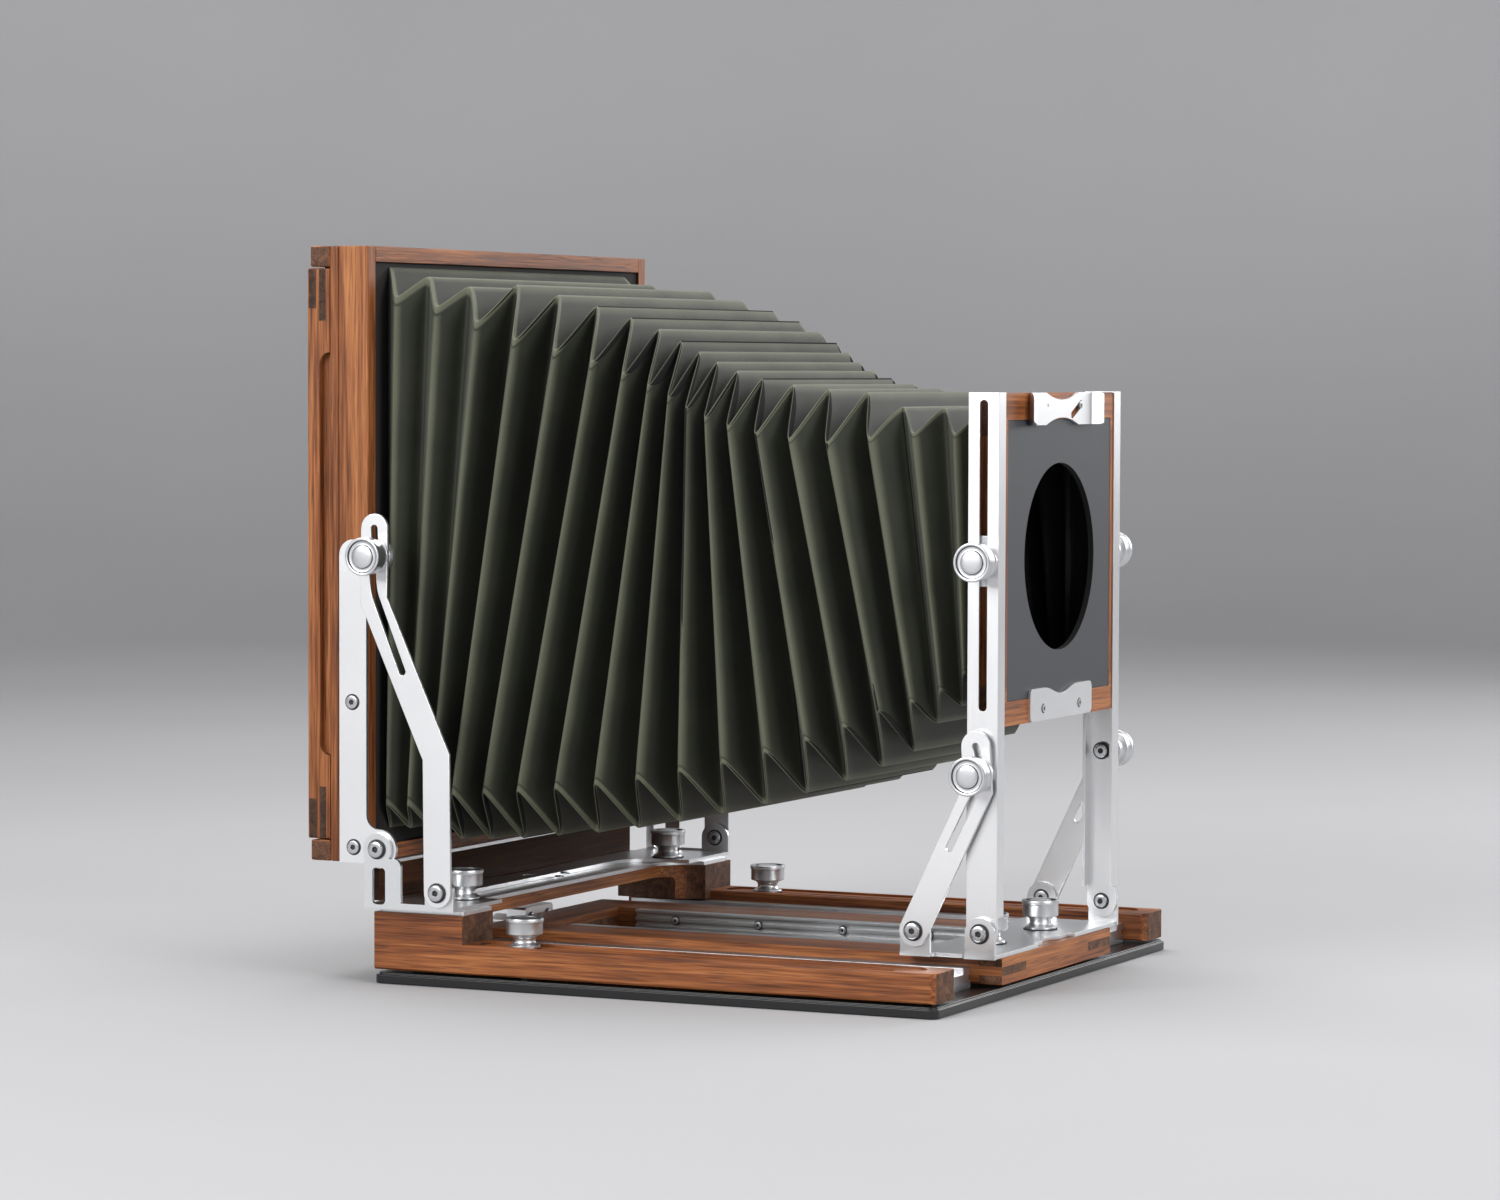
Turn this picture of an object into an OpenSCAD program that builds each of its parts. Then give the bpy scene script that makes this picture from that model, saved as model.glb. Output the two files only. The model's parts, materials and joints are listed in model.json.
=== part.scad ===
// Wooden field camera for large sheet film, set up on its base plate.
// Lens side faces -Y, focusing screen faces +Y, Z is up.
// Origin: centre of the base plate's underside, on the tripod bush axis. Millimetres.

/* [Base plate] */
// Width of the base plate
base_w = 403; // [395:1:420]
// Length of the base plate
base_l = 397; // [385:1:410]
// Thickness of the base plate
base_t = 7; // [6:0.5:8]
// Corner radius of the base plate
base_corner_r = 5; // [3:1:10]

/* [Rear carriage] */
// Outer width across both side rails
carriage_w = 400; // [394:1:402]
// Width of a side rail
rail_w = 33.6; // [31:0.5:35]
// Height of a side rail
rail_h = 19; // [17:0.5:20]
// Gap under the wooden rails
rail_lift = 1.8; // [1.4:0.1:2.2]
// Length of the raised block at a rail's rear end
block_l = 65; // [60:1:70]
// Width of the raised block
block_w = 41.3; // [40:0.5:44]
// Height of the raised block above the rail's underside
block_h = 37.5; // [36:0.5:39]
// Underside of the bridge beam's arch above the rail's underside
arch_h = 29.5; // [28:0.5:31]

/* [Guides] */
// Distance from the centre plane to a guide's inner side
guide_in = 104; // [102:0.5:108]
// Height of a guide
guide_h = 14; // [12:0.5:15]
// Depth of the guide's side grooves
groove_d = 3; // [2.5:0.1:3.5]
// Height of the guide's side grooves
groove_h = 3.4; // [3:0.1:3.8]

/* [Front bed] */
// Outer width of the front bed
bed_w = 189.6; // [186:0.4:194]
// Height of the front bed's rails
bed_h = 17.2; // [16.8:0.1:18]
// Width of one bed rail
bed_rail_w = 40.8; // [38:0.4:43]
// Depth of an inner track
track_d = 8; // [7:0.5:9]
// Height of an inner track
track_h = 12.4; // [12:0.2:13]

/* [Rear standard] */
// Outside width and height of the rear frame
frame_size = 400; // [394:1:402]
// Depth of the rear frame, front to back
frame_t = 21.8; // [20:0.2:24]
// Wall of the rear frame
frame_wall = 10.5; // [10:0.5:12]
// Distance of the rear frame's front face behind the base plate's edge
frame_back = 4.7; // [4:0.1:6]
// Height of the rear sill
sill_h = 22.3; // [21:0.1:24]
// Thickness of the strip on the sill
cap_t = 2.6; // [2:0.1:3]
// Height of the rear knob axis above the rear tilt pivot
rear_stud_rise = 190.2; // [180:0.5:195]
// Depth of the focusing frame
focus_frame_t = 16.2; // [15:0.2:18]
// Width of the back's border around the picture opening
picture_border = 48; // [47:0.5:50]

/* [Front standard] */
// Gap between the lens frame and each upright
upright_gap = 0.6; // [0.3:0.1:2]
// Width of an upright channel
upright_w = 11.5; // [11:0.5:13]
// Depth of an upright channel
upright_d = 21; // [20:0.5:23]
// Height of the uprights' tops above the ground
upright_top = 384.4; // [380:0.2:390]
// Distance of the uprights' centre line from the origin
upright_y = -188.5; // [-189:0.5:-187]
// Height of the lower front knobs above the front tilt pivot
front_stud_rise = 101.3; // [98:0.5:104]
// Width of the lens frame
lens_frame_w = 188; // [180:0.5:196]
// Height of the lens frame
lens_frame_h = 211; // [206:1:214]
// Height of the lens hole's centre above the ground
lens_z = 278; // [276:1:280]
// Wood of the lens frame on each side of the lens board
board_margin = 5; // [5:0.5:8]
// Radius of the hole in the lens board
lens_hole_r = 60.7; // [20:0.1:66]

/* [Metal parts] */
// Thickness of the bent plates
plate_t = 2.5; // [2:0.1:2.6]
// Width of the struts
strut_w = 19.5; // [18:0.5:20]
// Width of the slots in the struts
strut_slot_w = 4.8; // [4.6:0.1:5.4]
// Radius of a knob's head
knob_r = 12.4; // [11.5:0.1:12.6]
// Height of a knob's head
knob_head_h = 11; // [10:0.5:12]
// Height of a knob's foot and waist
knob_neck_h = 8.6; // [8:0.2:9]
// Radius of a knob's foot
knob_foot_r = 10.2; // [9.5:0.1:10.6]
// Radius of a clamping stud
stud_r = 2; // [1.8:0.1:2.1]

/* [Bellows] */
// Number of pleats
pleats = 18; // [14:1:22]
// Depth of the pleats near the two ends
pleat_end_d = 16.8; // [12:0.2:18]
// Depth of the pleats in the middle
pleat_mid_d = 32.5; // [26:0.5:33]
// Wall of the bellows, measured square to the light path
bellows_wall = 2.4; // [2:0.1:3]
// Sag of the bottom in the middle
bottom_sag = 33; // [10:1:33]
// Sag of the top in the middle
top_sag = 17.6; // [5:0.2:18]

/* [Hidden] */
$fn = 48;

wood = "#8a4b2c";
dark_wood = "#5a2d1c";
metal = "#d9dadd";
steel = "#a8aaad";
brass = "#b8964a";

// Clearances
slip = 0.2;
run_gap = 0.3;
bore_gap = 0.06;
eps = 0.01;

// Heights, from the ground up
rail_z = base_t + rail_lift;
rail_top = rail_z + rail_h;
block_top = rail_z + block_h;
lower_plate_z = block_top;
upper_plate_z = lower_plate_z + plate_t + slip;
sill_z = upper_plate_z + plate_t;
cap_z = sill_z + sill_h;
frame_rest_gap = 1.2;
frame_z = cap_z + cap_t + frame_rest_gap;
bed_top = rail_z + bed_h;

// Tripod bush, for a 3/8 inch tripod screw
tripod_thread_r = 4.76;
tripod_body_r = 9;
tripod_flange_r = 13;
tripod_flange_t = 1.6;

// Rear carriage
rail_out = carriage_w / 2;
rail_in = rail_out - rail_w;
block_in = rail_out - block_w;
carriage_y0 = -base_l / 2 + 1;
carriage_y1 = base_l / 2 + 0.3;
block_y0 = carriage_y1 - block_l;
rail_edge = 1.2;
recess_d = 1.5;
recess_half_w = 12.5;
recess_y0 = carriage_y0 + 26;
recess_y1 = block_y0 - 18;
rail_stud_x = (rail_in + rail_out) / 2 + 0.8;
rail_stud_y = recess_y1 - 19;
rail_stud_r = 2.5;
rail_slot_half_w = 2.9;
beam_inner = 9;
arch_corner = 3;

// Guides between the rails and the bed
guide_out = rail_in - run_gap;
guide_y0 = -base_l / 2 + 18;
guide_y1 = base_l / 2 - 8;
groove_z = base_t + 5.3;
tongue_h = groove_h - 2 * run_gap;
tongue_z = groove_z + run_gap;

// Front bed
bed_out = bed_w / 2;
bed_in = bed_out - bed_rail_w;
bed_y0 = -base_l / 2 + 0.2;
bed_y1 = base_l / 2 - 15.5;
bed_front_w = 16;
bed_rear_w = 33;
track_in = bed_in - track_d;
track_y0 = bed_y0 + bed_front_w;
track_y1 = bed_y1 - bed_rear_w - 17;
track_groove = 2.2;
track_groove_h = 2.6;

// Focusing screw in the middle of the base
screw_r = 3.5;
screw_z = base_t + 5.5;
screw_y0 = 30;
screw_y1 = base_l / 2 + 20;
bearing_w = 40;
bearing_y0 = base_l / 2 - 15;
bearing_y1 = base_l / 2 - 0.5;
bearing_top = 31;
nut_r = 6;
nut_l = 20;

// Rear plates, swinging about a boss on the lower plate
swing_y = block_y0 + 55.7;
swing_boss_r = 6;
plate_stud_x = 150;
plate_stud_y = block_y0 + 25.6;
plate_stud_r = 2.5;
swing_slot_half_w = 2.9;
swing_reach = 4;
lower_y0 = block_y0 + 1;
beam_y0 = block_y0 + 28;
beam_fillet = 30;

// Layers on the rear frame's sides, from the wood outwards
bracket_x = frame_size / 2;
ear_x = bracket_x + plate_t + run_gap;
strut_x = ear_x + plate_t + run_gap;
strut_face_x = strut_x + plate_t;

// Rear frame and its pivots
frame_y = base_l / 2 + frame_back;
frame_half = frame_size / 2;
frame_inner = frame_half - frame_wall;
frame_mid_z = frame_z + frame_half;
pivot_y = frame_y - 9.5;
pivot_z = frame_z + 9.8;
ear_r = 11.2;
screw_shaft_r = 3;
screw_head_r = 5;
screw_head_h = 2.6;
rear_foot_y = pivot_y - 45.9;
rear_foot_z = sill_z + 9.9;
rear_stud_y = pivot_y;
rear_stud_z = pivot_z + rear_stud_rise;
lobe_r = 10.4;
bracket_lobe_r = 12.6;
bracket_fillet = 9;
ear_y0 = pivot_y - 17.5;
ear_y1 = pivot_y + 9.3;
sill_y0 = frame_y + 2.3;
sill_y1 = sill_y0 + 8.5;
sill_half = frame_half - 18;
upper_waist_y = pivot_y - 12.2;
rear_knob_neck_h = 5.6;

// Back
back_y = frame_y + frame_t;
back_strip_t = 6.6;
back_rail_h = 13.5;
back_rail_t = 14.6;
focus_y = back_y + back_strip_t + slip;
focus_z0 = frame_z + back_rail_h + 0.9;
focus_z1 = frame_z + frame_size - back_rail_h - 0.9;
// Side of the picture opening, for 12 by 12 inch film
picture = frame_size - 2 * picture_border;
glass_t = 2.5;
glass_size = picture + 10;
glass_y = focus_y + 0.9;
clip_x = glass_size / 2 - 40;
clip_w = 14;
clip_l = 16;
clip_t = 0.7;
finger_groove_d = 5;

// Front standard
front_pivot_z = bed_top + 16.5;
front_plate_z = bed_top + slip;
upright_in = lens_frame_w / 2 + upright_gap;
front_ear_x = upright_in + upright_w + run_gap;
front_strut_x = front_ear_x + plate_t + run_gap;
front_strut_face_x = front_strut_x + plate_t;
front_foot_y = upright_y + 44.5;
front_stud_z = front_pivot_z + front_stud_rise;
front_plate_y0 = upright_y - 9.3;
front_plate_y1 = front_foot_y + 10.5;
front_ear_r = 10.3;
front_slot_half_w = 2.9;
front_stud_x = 44;
front_stud_y = upright_y + 20;
front_stud_r = 2.5;
shift_reach = 15;
upright_web = 2.5;
upright_flange = 2;
rise_slot_half_w = 2.7;
rise_slot_z0 = lens_z - 92;
rise_slot_z1 = lens_z + 99;
rise_stud_r = 2.6;

// Lens frame
lens_frame_y0 = upright_y - 9.7;
lens_frame_t = 20;
lens_frame_y1 = lens_frame_y0 + lens_frame_t;
lens_frame_z0 = lens_z - 105;
lens_frame_z1 = lens_frame_z0 + lens_frame_h;
lens_board = lens_frame_w - 2 * board_margin;
board_seat = 10;
lens_opening_half = lens_board / 2 - board_seat;
board_t = 4;
board_mid_z = lens_z - 0.2;
lip_z0 = lens_frame_z0 + 0.3;

// Bellows: its two ends, and the run of its top, bottom and sides
bellows_y0 = frame_y + 2;
bellows_y1 = lens_frame_y1 + 3;
bellows_top0 = frame_z + frame_size - 21.4;
bellows_top1 = lens_frame_z1 - 17.8;
bellows_low0 = frame_z + 28.4;
bellows_low1 = lens_frame_z0 + 30.4;
bellows_half0 = frame_inner - 11.5;
bellows_half1 = lens_opening_half + 0.4;
bellows_board_t = 3;
bellows_board_w = 26.5;
bellows_end_w = 17;

// Helpers

module pair() {
    children();
    mirror([1, 0, 0]) children();
}

// Draws a Y-Z outline as a plate from x to x + t
module side_plate(x, t) {
    translate([x, 0, 0]) rotate([90, 0, 90]) linear_extrude(t) children();
}

// Draws an X-Z outline from y0 to y1
module along_y(y0, y1) {
    translate([0, y1, 0]) rotate([90, 0, 0]) linear_extrude(y1 - y0) children();
}

module across_x(x0, x1, y, z, r) {
    translate([x0, y, z]) rotate([0, 90, 0]) cylinder(r = r, h = x1 - x0);
}

module block(x0, x1, y0, y1, z0, z1) {
    translate([x0, y0, z0]) cube([x1 - x0, y1 - y0, z1 - z0]);
}

module round_rect(w, h, r) {
    square([w - 2 * r, h], center = true);
    square([w, h - 2 * r], center = true);
    for (sx = [-1, 1], sy = [-1, 1])
        translate([sx * (w / 2 - r), sy * (h / 2 - r)]) circle(r = r);
}

// A rectangle with cut corners, from [x0, z0] to [x1, z1]
function chamfered(x0, z0, x1, z1, c) = [
    [x0 + c, z0], [x1 - c, z0], [x1, z0 + c], [x1, z1 - c],
    [x1 - c, z1], [x0 + c, z1], [x0, z1 - c], [x0, z0 + c]
];

// Outline of a band with round ends along a line of points
function unit(v) = v / norm(v);
function left_of(v) = [-v[1], v[0]];
function heading(p, i) =
    i == 0 ? unit(p[1] - p[0]) :
    i == len(p) - 1 ? unit(p[i] - p[i - 1]) :
    unit(unit(p[i] - p[i - 1]) + unit(p[i + 1] - p[i]));
function miter(p, i) =
    i == 0 || i == len(p) - 1 ? 1 : 1 / (heading(p, i) * unit(p[i] - p[i - 1]));
function cap(c, h, r, n) = [
    for (k = [1 : n - 1]) c + r * (cos(180 * k / n) * left_of(h) + sin(180 * k / n) * h)
];
function band(p, r, n = 14) = concat(
    [for (i = [0 : len(p) - 1]) p[i] + r * miter(p, i) * left_of(heading(p, i))],
    cap(p[len(p) - 1], heading(p, len(p) - 1), r, n),
    [for (i = [len(p) - 1 : -1 : 0]) p[i] - r * miter(p, i) * left_of(heading(p, i))],
    cap(p[0], -heading(p, 0), r, n)
);

// Where a stud on a tilting standard lies in its strut, as the strut turns at its own ratio
function turned(v, a) = [v[0] * cos(a) - v[1] * sin(a), v[0] * sin(a) + v[1] * cos(a)];
function stud_in_strut(pivot, stud, foot, ratio, a) =
    foot + turned(pivot + turned(stud - pivot, a) - foot, -ratio * a);

rear_pivot = [pivot_y, pivot_z];
rear_stud = [rear_stud_y, rear_stud_z];
rear_foot = [rear_foot_y, rear_foot_z];
rear_ratio = 0.93;
front_pivot = [upright_y, front_pivot_z];
front_stud = [upright_y, front_stud_z];
front_foot = [front_foot_y, front_pivot_z];
front_ratio = 0.97;

rear_slot = concat(
    [rear_foot + [46.2, 233.8]],
    [for (a = [-1.5 : 3 : 31.5]) stud_in_strut(rear_pivot, rear_stud, rear_foot, rear_ratio, a)],
    [rear_foot + [25.6, 142]]
);
front_slot = concat(
    [for (a = [24 : -3 : -18]) stud_in_strut(front_pivot, front_stud, front_foot, front_ratio, a)],
    [front_foot + [-24.5, 54]]
);

// Knob standing on its foot, with a blind bore from below
module knob(bore_r, bore_l, neck_h = knob_neck_h) {
    top = neck_h + knob_head_h;
    waist_r = knob_foot_r - 3.6;
    neck = [
        for (k = [0 : 8])
            [waist_r + 2.6 * pow(cos(22.5 * k), 2), 1.8 + k * (neck_h - 1.8) / 8]
    ];
    color(metal) difference() {
        union() {
            rotate_extrude() polygon(concat(
                [[0, 0], [knob_foot_r, 0], [knob_foot_r, 1.8]],
                neck,
                [
                    [knob_r - 1.6, neck_h], [knob_r - 0.9, neck_h + 0.7],
                    [knob_r - 0.9, top - 0.7], [knob_r - 1.6, top],
                    [knob_r - 3, top], [knob_r - 4, top - 1.6],
                    [knob_r - 6, top - 1.6], [knob_r - 6.8, top - 0.7],
                    [knob_r - 9.4, top], [0, top]
                ]
            ));
            translate([0, 0, neck_h + 0.7]) linear_extrude(knob_head_h - 1.4) difference() {
                polygon([
                    for (k = [0 : 47])
                        (knob_r - (k % 2) * 0.45) * [cos(7.5 * k), sin(7.5 * k)]
                ]);
                circle(r = knob_r - 1.4);
            }
        }
        translate([0, 0, -1]) cylinder(r = bore_r, h = bore_l + 1);
    }
}

// Knob on a side stud, its foot at x and its head outwards
module side_knob(x, y, z, neck_h = knob_neck_h) {
    translate([x, y, z]) rotate([0, 90, 0]) knob(stud_r + bore_gap, neck_h + 6.4, neck_h);
}

// Shoulder screw along X: shaft from x0 to x1, then the head
module shoulder_screw(x0, x1, y, z) {
    across_x(x0, x1, y, z, screw_shaft_r);
    difference() {
        across_x(x1 - eps, x1 + screw_head_h, y, z, screw_head_r);
        translate([x1 + screw_head_h - 1.5, y, z]) rotate([0, 90, 0]) cylinder(r = 2.2, h = 3, $fn = 6);
    }
}

// Base

module base_plate() {
    bevel = 1.5;
    color("#17181a") difference() {
        union() {
            linear_extrude(base_t - bevel) round_rect(base_w, base_l, base_corner_r);
            translate([0, 0, base_t - bevel - eps])
                linear_extrude(bevel + eps) round_rect(base_w - 2 * bevel, base_l - 2 * bevel, base_corner_r);
        }
        translate([0, 0, -1]) cylinder(r = tripod_body_r, h = base_t + 2);
    }
}

module tripod_bush() {
    color(steel) difference() {
        union() {
            cylinder(r = tripod_body_r, h = base_t + eps);
            translate([0, 0, base_t]) cylinder(r = tripod_flange_r, h = tripod_flange_t);
        }
        translate([0, 0, -1]) cylinder(r = tripod_thread_r, h = base_t + tripod_flange_t + 2);
    }
}

// Extruded guide with a groove in each side and a shallow channel on top
module guide_rails() {
    z1 = base_t + guide_h;
    channel = 12;
    color(metal) pair() along_y(guide_y0, guide_y1) difference() {
        polygon(chamfered(guide_in, base_t, guide_out, z1, 0.6));
        translate([guide_in - 1, groove_z]) square([groove_d + 1, groove_h]);
        translate([guide_out - groove_d, groove_z]) square([groove_d + 1, groove_h]);
        translate([guide_in + channel, z1 - 4]) square([guide_out - guide_in - 2 * channel, 5]);
    }
}

module rail_studs() {
    top = rail_top - recess_d + run_gap + 15;
    color(steel) pair() translate([rail_stud_x, rail_stud_y, base_t]) cylinder(r = rail_stud_r, h = top - base_t);
}

module screw_bearing() {
    color(metal) difference() {
        along_y(bearing_y0, bearing_y1)
            polygon(chamfered(-bearing_w / 2, base_t, bearing_w / 2, bearing_top, 1.5));
        translate([0, bearing_y1 + 1, screw_z]) rotate([90, 0, 0])
            cylinder(r = screw_r + bore_gap, h = bearing_y1 - bearing_y0 + 2);
    }
}

// Rear carriage

module side_rail() {
    r = 6;
    color(wood) difference() {
        union() {
            along_y(carriage_y0 + r, carriage_y1)
                polygon(chamfered(rail_in, rail_z, rail_out, rail_top, rail_edge));
            intersection() {
                along_y(carriage_y0, carriage_y0 + r + eps)
                    polygon(chamfered(rail_in, rail_z, rail_out, rail_top, rail_edge));
                union() {
                    block(rail_in + r, rail_out - r, carriage_y0, carriage_y0 + r + 1, 0, rail_top);
                    translate([rail_in + r, carriage_y0 + r, 0]) cylinder(r = r, h = rail_top);
                    translate([rail_out - r, carriage_y0 + r, 0]) cylinder(r = r, h = rail_top);
                }
            }
            block(rail_in, rail_out, block_y0, carriage_y1, rail_top - rail_edge - eps, block_top);
            block(block_in, rail_in + eps, block_y0, carriage_y1, base_t + guide_h + 1, block_top);
        }
        translate([rail_stud_x, 0, rail_top - recess_d]) linear_extrude(recess_d + 1)
            polygon(band([[0, recess_y0], [0, recess_y1]], recess_half_w));
        translate([rail_stud_x, 0, rail_z - 1]) linear_extrude(rail_h + 2)
            polygon(band([[0, recess_y0 + 12], [0, rail_stud_y + 1]], rail_slot_half_w));
    }
}

module side_rail_right() { side_rail(); }
module side_rail_left() { mirror([1, 0, 0]) side_rail(); }

// Plan of the bay in front of the beam, with a fillet at each block
module front_bay(half, y1) {
    difference() {
        translate([0, y1 - 60]) square([2 * half, 120], center = true);
        for (s = [-1, 1]) difference() {
            translate([s * (half - beam_fillet / 2 + 1), y1 - beam_fillet / 2 + 1])
                square(beam_fillet + 2, center = true);
            translate([s * (half - beam_fillet), y1 - beam_fillet]) circle(r = beam_fillet);
        }
    }
}

module bridge_beam() {
    arch_z = rail_z + arch_h;
    low_z = base_t + guide_h + 1;
    half = block_in - slip;
    color(wood) difference() {
        along_y(block_y0, carriage_y1) difference() {
            translate([-half, low_z]) square([2 * half, block_top - low_z]);
            translate([-half + beam_inner, low_z - 1])
                square([2 * (half - beam_inner), arch_z - low_z + 1 - arch_corner]);
            translate([-half + beam_inner + arch_corner, low_z - 1])
                square([2 * (half - beam_inner - arch_corner), arch_z - low_z + 1]);
            for (s = [-1, 1])
                translate([s * (half - beam_inner - arch_corner), arch_z - arch_corner]) circle(r = arch_corner);
        }
        translate([0, 0, low_z - 1]) linear_extrude(block_h) front_bay(half, beam_y0);
    }
}

module carriage_runners() {
    color(metal) pair()
        block(guide_out - groove_d + run_gap, rail_in, guide_y0 + 12, block_y0 - 8, tongue_z, tongue_z + tongue_h);
}

module rear_lower_plate() {
    half = rail_out - 3;
    color(metal) union() {
        translate([0, 0, lower_plate_z]) linear_extrude(plate_t) difference() {
            translate([0, (lower_y0 + carriage_y1 - 1) / 2]) round_rect(2 * half, carriage_y1 - 1 - lower_y0, 4);
            front_bay(block_in - slip, beam_y0 - 0.5);
        }
        translate([0, swing_y, lower_plate_z + plate_t - eps]) cylinder(r = swing_boss_r, h = plate_t);
    }
}

module rear_plate_studs() {
    top = upper_plate_z + plate_t + run_gap + 15;
    color(steel) pair() translate([plate_stud_x, plate_stud_y, lower_plate_z + plate_t])
        cylinder(r = plate_stud_r, h = top - lower_plate_z - plate_t);
}

module rail_knob_right() {
    translate([rail_stud_x, rail_stud_y, rail_top - recess_d + run_gap]) knob(rail_stud_r + bore_gap, 15.3);
}
module rail_knob_left() { mirror([1, 0, 0]) rail_knob_right(); }

module rear_plate_knob_right() {
    translate([plate_stud_x, plate_stud_y, upper_plate_z + plate_t + run_gap])
        knob(plate_stud_r + bore_gap, 15.3);
}
module rear_plate_knob_left() { mirror([1, 0, 0]) rear_plate_knob_right(); }

// Swinging rear plate with its ears, sill and struts

// Arc slot for a stud, about the swing boss
function swing_arc(s) = let(
    dx = plate_stud_x,
    dy = plate_stud_y - swing_y,
    r = norm([dx, dy]),
    a0 = atan2(dy, dx)
) [
    for (k = [-4 : 4])
        [s * r * cos(a0 + swing_reach * k / 4), swing_y + r * sin(a0 + swing_reach * k / 4)]
];

module rear_upper_plate() {
    z0 = upper_plate_z;
    half = ear_x + plate_t;
    front_y = rear_foot_y - 10.5;
    wing = 66;
    ear_top = pivot_z - 6;
    tongue = sill_half + 2;
    color(metal) union() {
        translate([0, 0, z0]) linear_extrude(plate_t) difference() {
            union() {
                translate([-half, front_y]) square([2 * half, ear_y1 - front_y]);
                translate([-tongue, ear_y1 - 1]) square([2 * tongue, sill_y1 + 2 - ear_y1]);
            }
            front_bay(half - wing, upper_waist_y);
            translate([0, swing_y]) circle(r = swing_boss_r + bore_gap);
            for (s = [-1, 1]) polygon(band(swing_arc(s), swing_slot_half_w));
        }
        pair() side_plate(ear_x, plate_t) difference() {
            union() {
                translate([rear_foot_y - 10.5, z0]) square([21, rear_foot_z - z0]);
                translate(rear_foot) circle(r = 10.5);
                translate([ear_y0, z0]) square([ear_y1 - ear_y0, ear_top - 5 - z0]);
                translate([ear_y0 + 5, z0]) square([ear_y1 - ear_y0 - 5, ear_top - z0]);
                translate([ear_y0 + 5, ear_top - 5]) circle(r = 5);
                translate(rear_pivot) circle(r = lobe_r);
                translate([ear_y1 - 4, ear_top - 1]) square([4, pivot_z - ear_top]);
                translate([rear_foot_y, z0]) square([pivot_y - rear_foot_y, 4]);
            }
            translate(rear_pivot) circle(r = screw_shaft_r + bore_gap);
            translate(rear_foot) circle(r = screw_shaft_r);
            translate([pivot_y - 1.3, (z0 + pivot_z) / 2 - 4.6]) round_rect(9.6, 24, 3);
        }
    }
}

module rear_sill() {
    color(dark_wood) block(-sill_half, sill_half, sill_y0, sill_y1, sill_z, cap_z);
}

module sill_cap() {
    color(metal) block(-sill_half, sill_half, sill_y0, sill_y1, cap_z, cap_z + cap_t);
}

module rear_strut_screws() {
    color(steel) pair() shoulder_screw(ear_x, strut_face_x + run_gap, rear_foot_y, rear_foot_z);
}

module rear_strut() {
    line = [rear_slot[0], rear_foot + [46.8, 187.6], rear_foot + [0.9, 87.6], rear_foot];
    color(metal) side_plate(strut_x, plate_t) difference() {
        polygon(band(line, strut_w / 2));
        polygon(band(rear_slot, strut_slot_w / 2, 10));
        translate(rear_foot) circle(r = screw_shaft_r + bore_gap);
    }
}
module rear_strut_right() { rear_strut(); }
module rear_strut_left() { mirror([1, 0, 0]) rear_strut(); }

// Rear standard

module frame_outline(w, h, wall, r) {
    difference() {
        round_rect(w, h, r);
        round_rect(w - 2 * wall, h - 2 * wall, 0.8);
    }
}

module rear_frame() {
    color(wood) translate([0, 0, frame_mid_z]) along_y(frame_y, back_y)
        frame_outline(frame_size, frame_size, frame_wall, 1.5);
}

module rear_brackets() {
    strip_l = frame_t - 1.8;
    mid_y = frame_y + strip_l / 2;
    fillet_y = frame_y - bracket_fillet;
    fillet_z = pivot_z + sqrt(pow(bracket_lobe_r + bracket_fillet, 2) - pow(fillet_y - pivot_y, 2));
    color(metal) pair() side_plate(bracket_x, plate_t) difference() {
        union() {
            translate([frame_y, frame_z]) square([strip_l, rear_stud_z - frame_z]);
            translate([mid_y, rear_stud_z]) circle(r = strip_l / 2);
            translate([rear_stud_y, rear_stud_z - lobe_r]) square([mid_y - rear_stud_y, 2 * lobe_r - 0.4]);
            translate(rear_stud) circle(r = lobe_r);
            translate(rear_pivot) circle(r = bracket_lobe_r);
            translate([pivot_y, frame_z]) square([frame_y - pivot_y + 1, 2 * lobe_r - 1]);
            difference() {
                translate([fillet_y, pivot_z]) square([frame_y - fillet_y + 1, fillet_z - pivot_z]);
                translate([fillet_y, fillet_z]) circle(r = bracket_fillet);
            }
        }
        translate(rear_pivot) circle(r = screw_shaft_r);
        translate(rear_stud) circle(r = stud_r);
    }
}

// Shoulder screws of the tilt pivot, and the two studs with their spacers
module rear_frame_studs() {
    color(steel) pair() {
        shoulder_screw(bracket_x, ear_x + plate_t + run_gap, pivot_y, pivot_z);
        across_x(bracket_x, strut_face_x + run_gap + rear_knob_neck_h + 6.1, rear_stud_y, rear_stud_z, stud_r);
        across_x(bracket_x + plate_t, strut_x - run_gap, rear_stud_y, rear_stud_z, 8);
    }
}

module rear_tilt_knob_right() {
    side_knob(strut_face_x + run_gap, rear_stud_y, rear_stud_z, rear_knob_neck_h);
}
module rear_tilt_knob_left() { mirror([1, 0, 0]) rear_tilt_knob_right(); }

// Removable back: a thin frame with a deeper rail at its top and bottom
module reversing_back() {
    half = frame_half;
    y1 = back_y + back_strip_t;
    rail_end_y = y1 + back_rail_t;
    color(wood) union() {
        translate([0, 0, frame_mid_z]) along_y(back_y, y1)
            frame_outline(frame_size, frame_size, (frame_size - picture - 4) / 2, 1.5);
        for (z = [frame_z, frame_z + frame_size - back_rail_h])
            difference() {
                block(-half, half, y1 - eps, rail_end_y, z, z + back_rail_h);
                for (s = [-1, 1]) translate([0, rail_end_y, z - 1]) linear_extrude(back_rail_h + 2)
                    polygon([[s * half, -6], [s * half + s, 1], [s * half - 6 * s, 0]]);
            }
    }
}

// Board that holds the rear end of the bellows, inside the rear frame
module bellows_rear_frame() {
    outer = 2 * frame_inner;
    color("#2a211d") translate([0, 0, frame_mid_z])
        along_y(bellows_y0 + 0.05, bellows_y0 + bellows_board_t)
            frame_outline(outer, outer, bellows_board_w, 0.8);
}

// Focusing back

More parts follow.
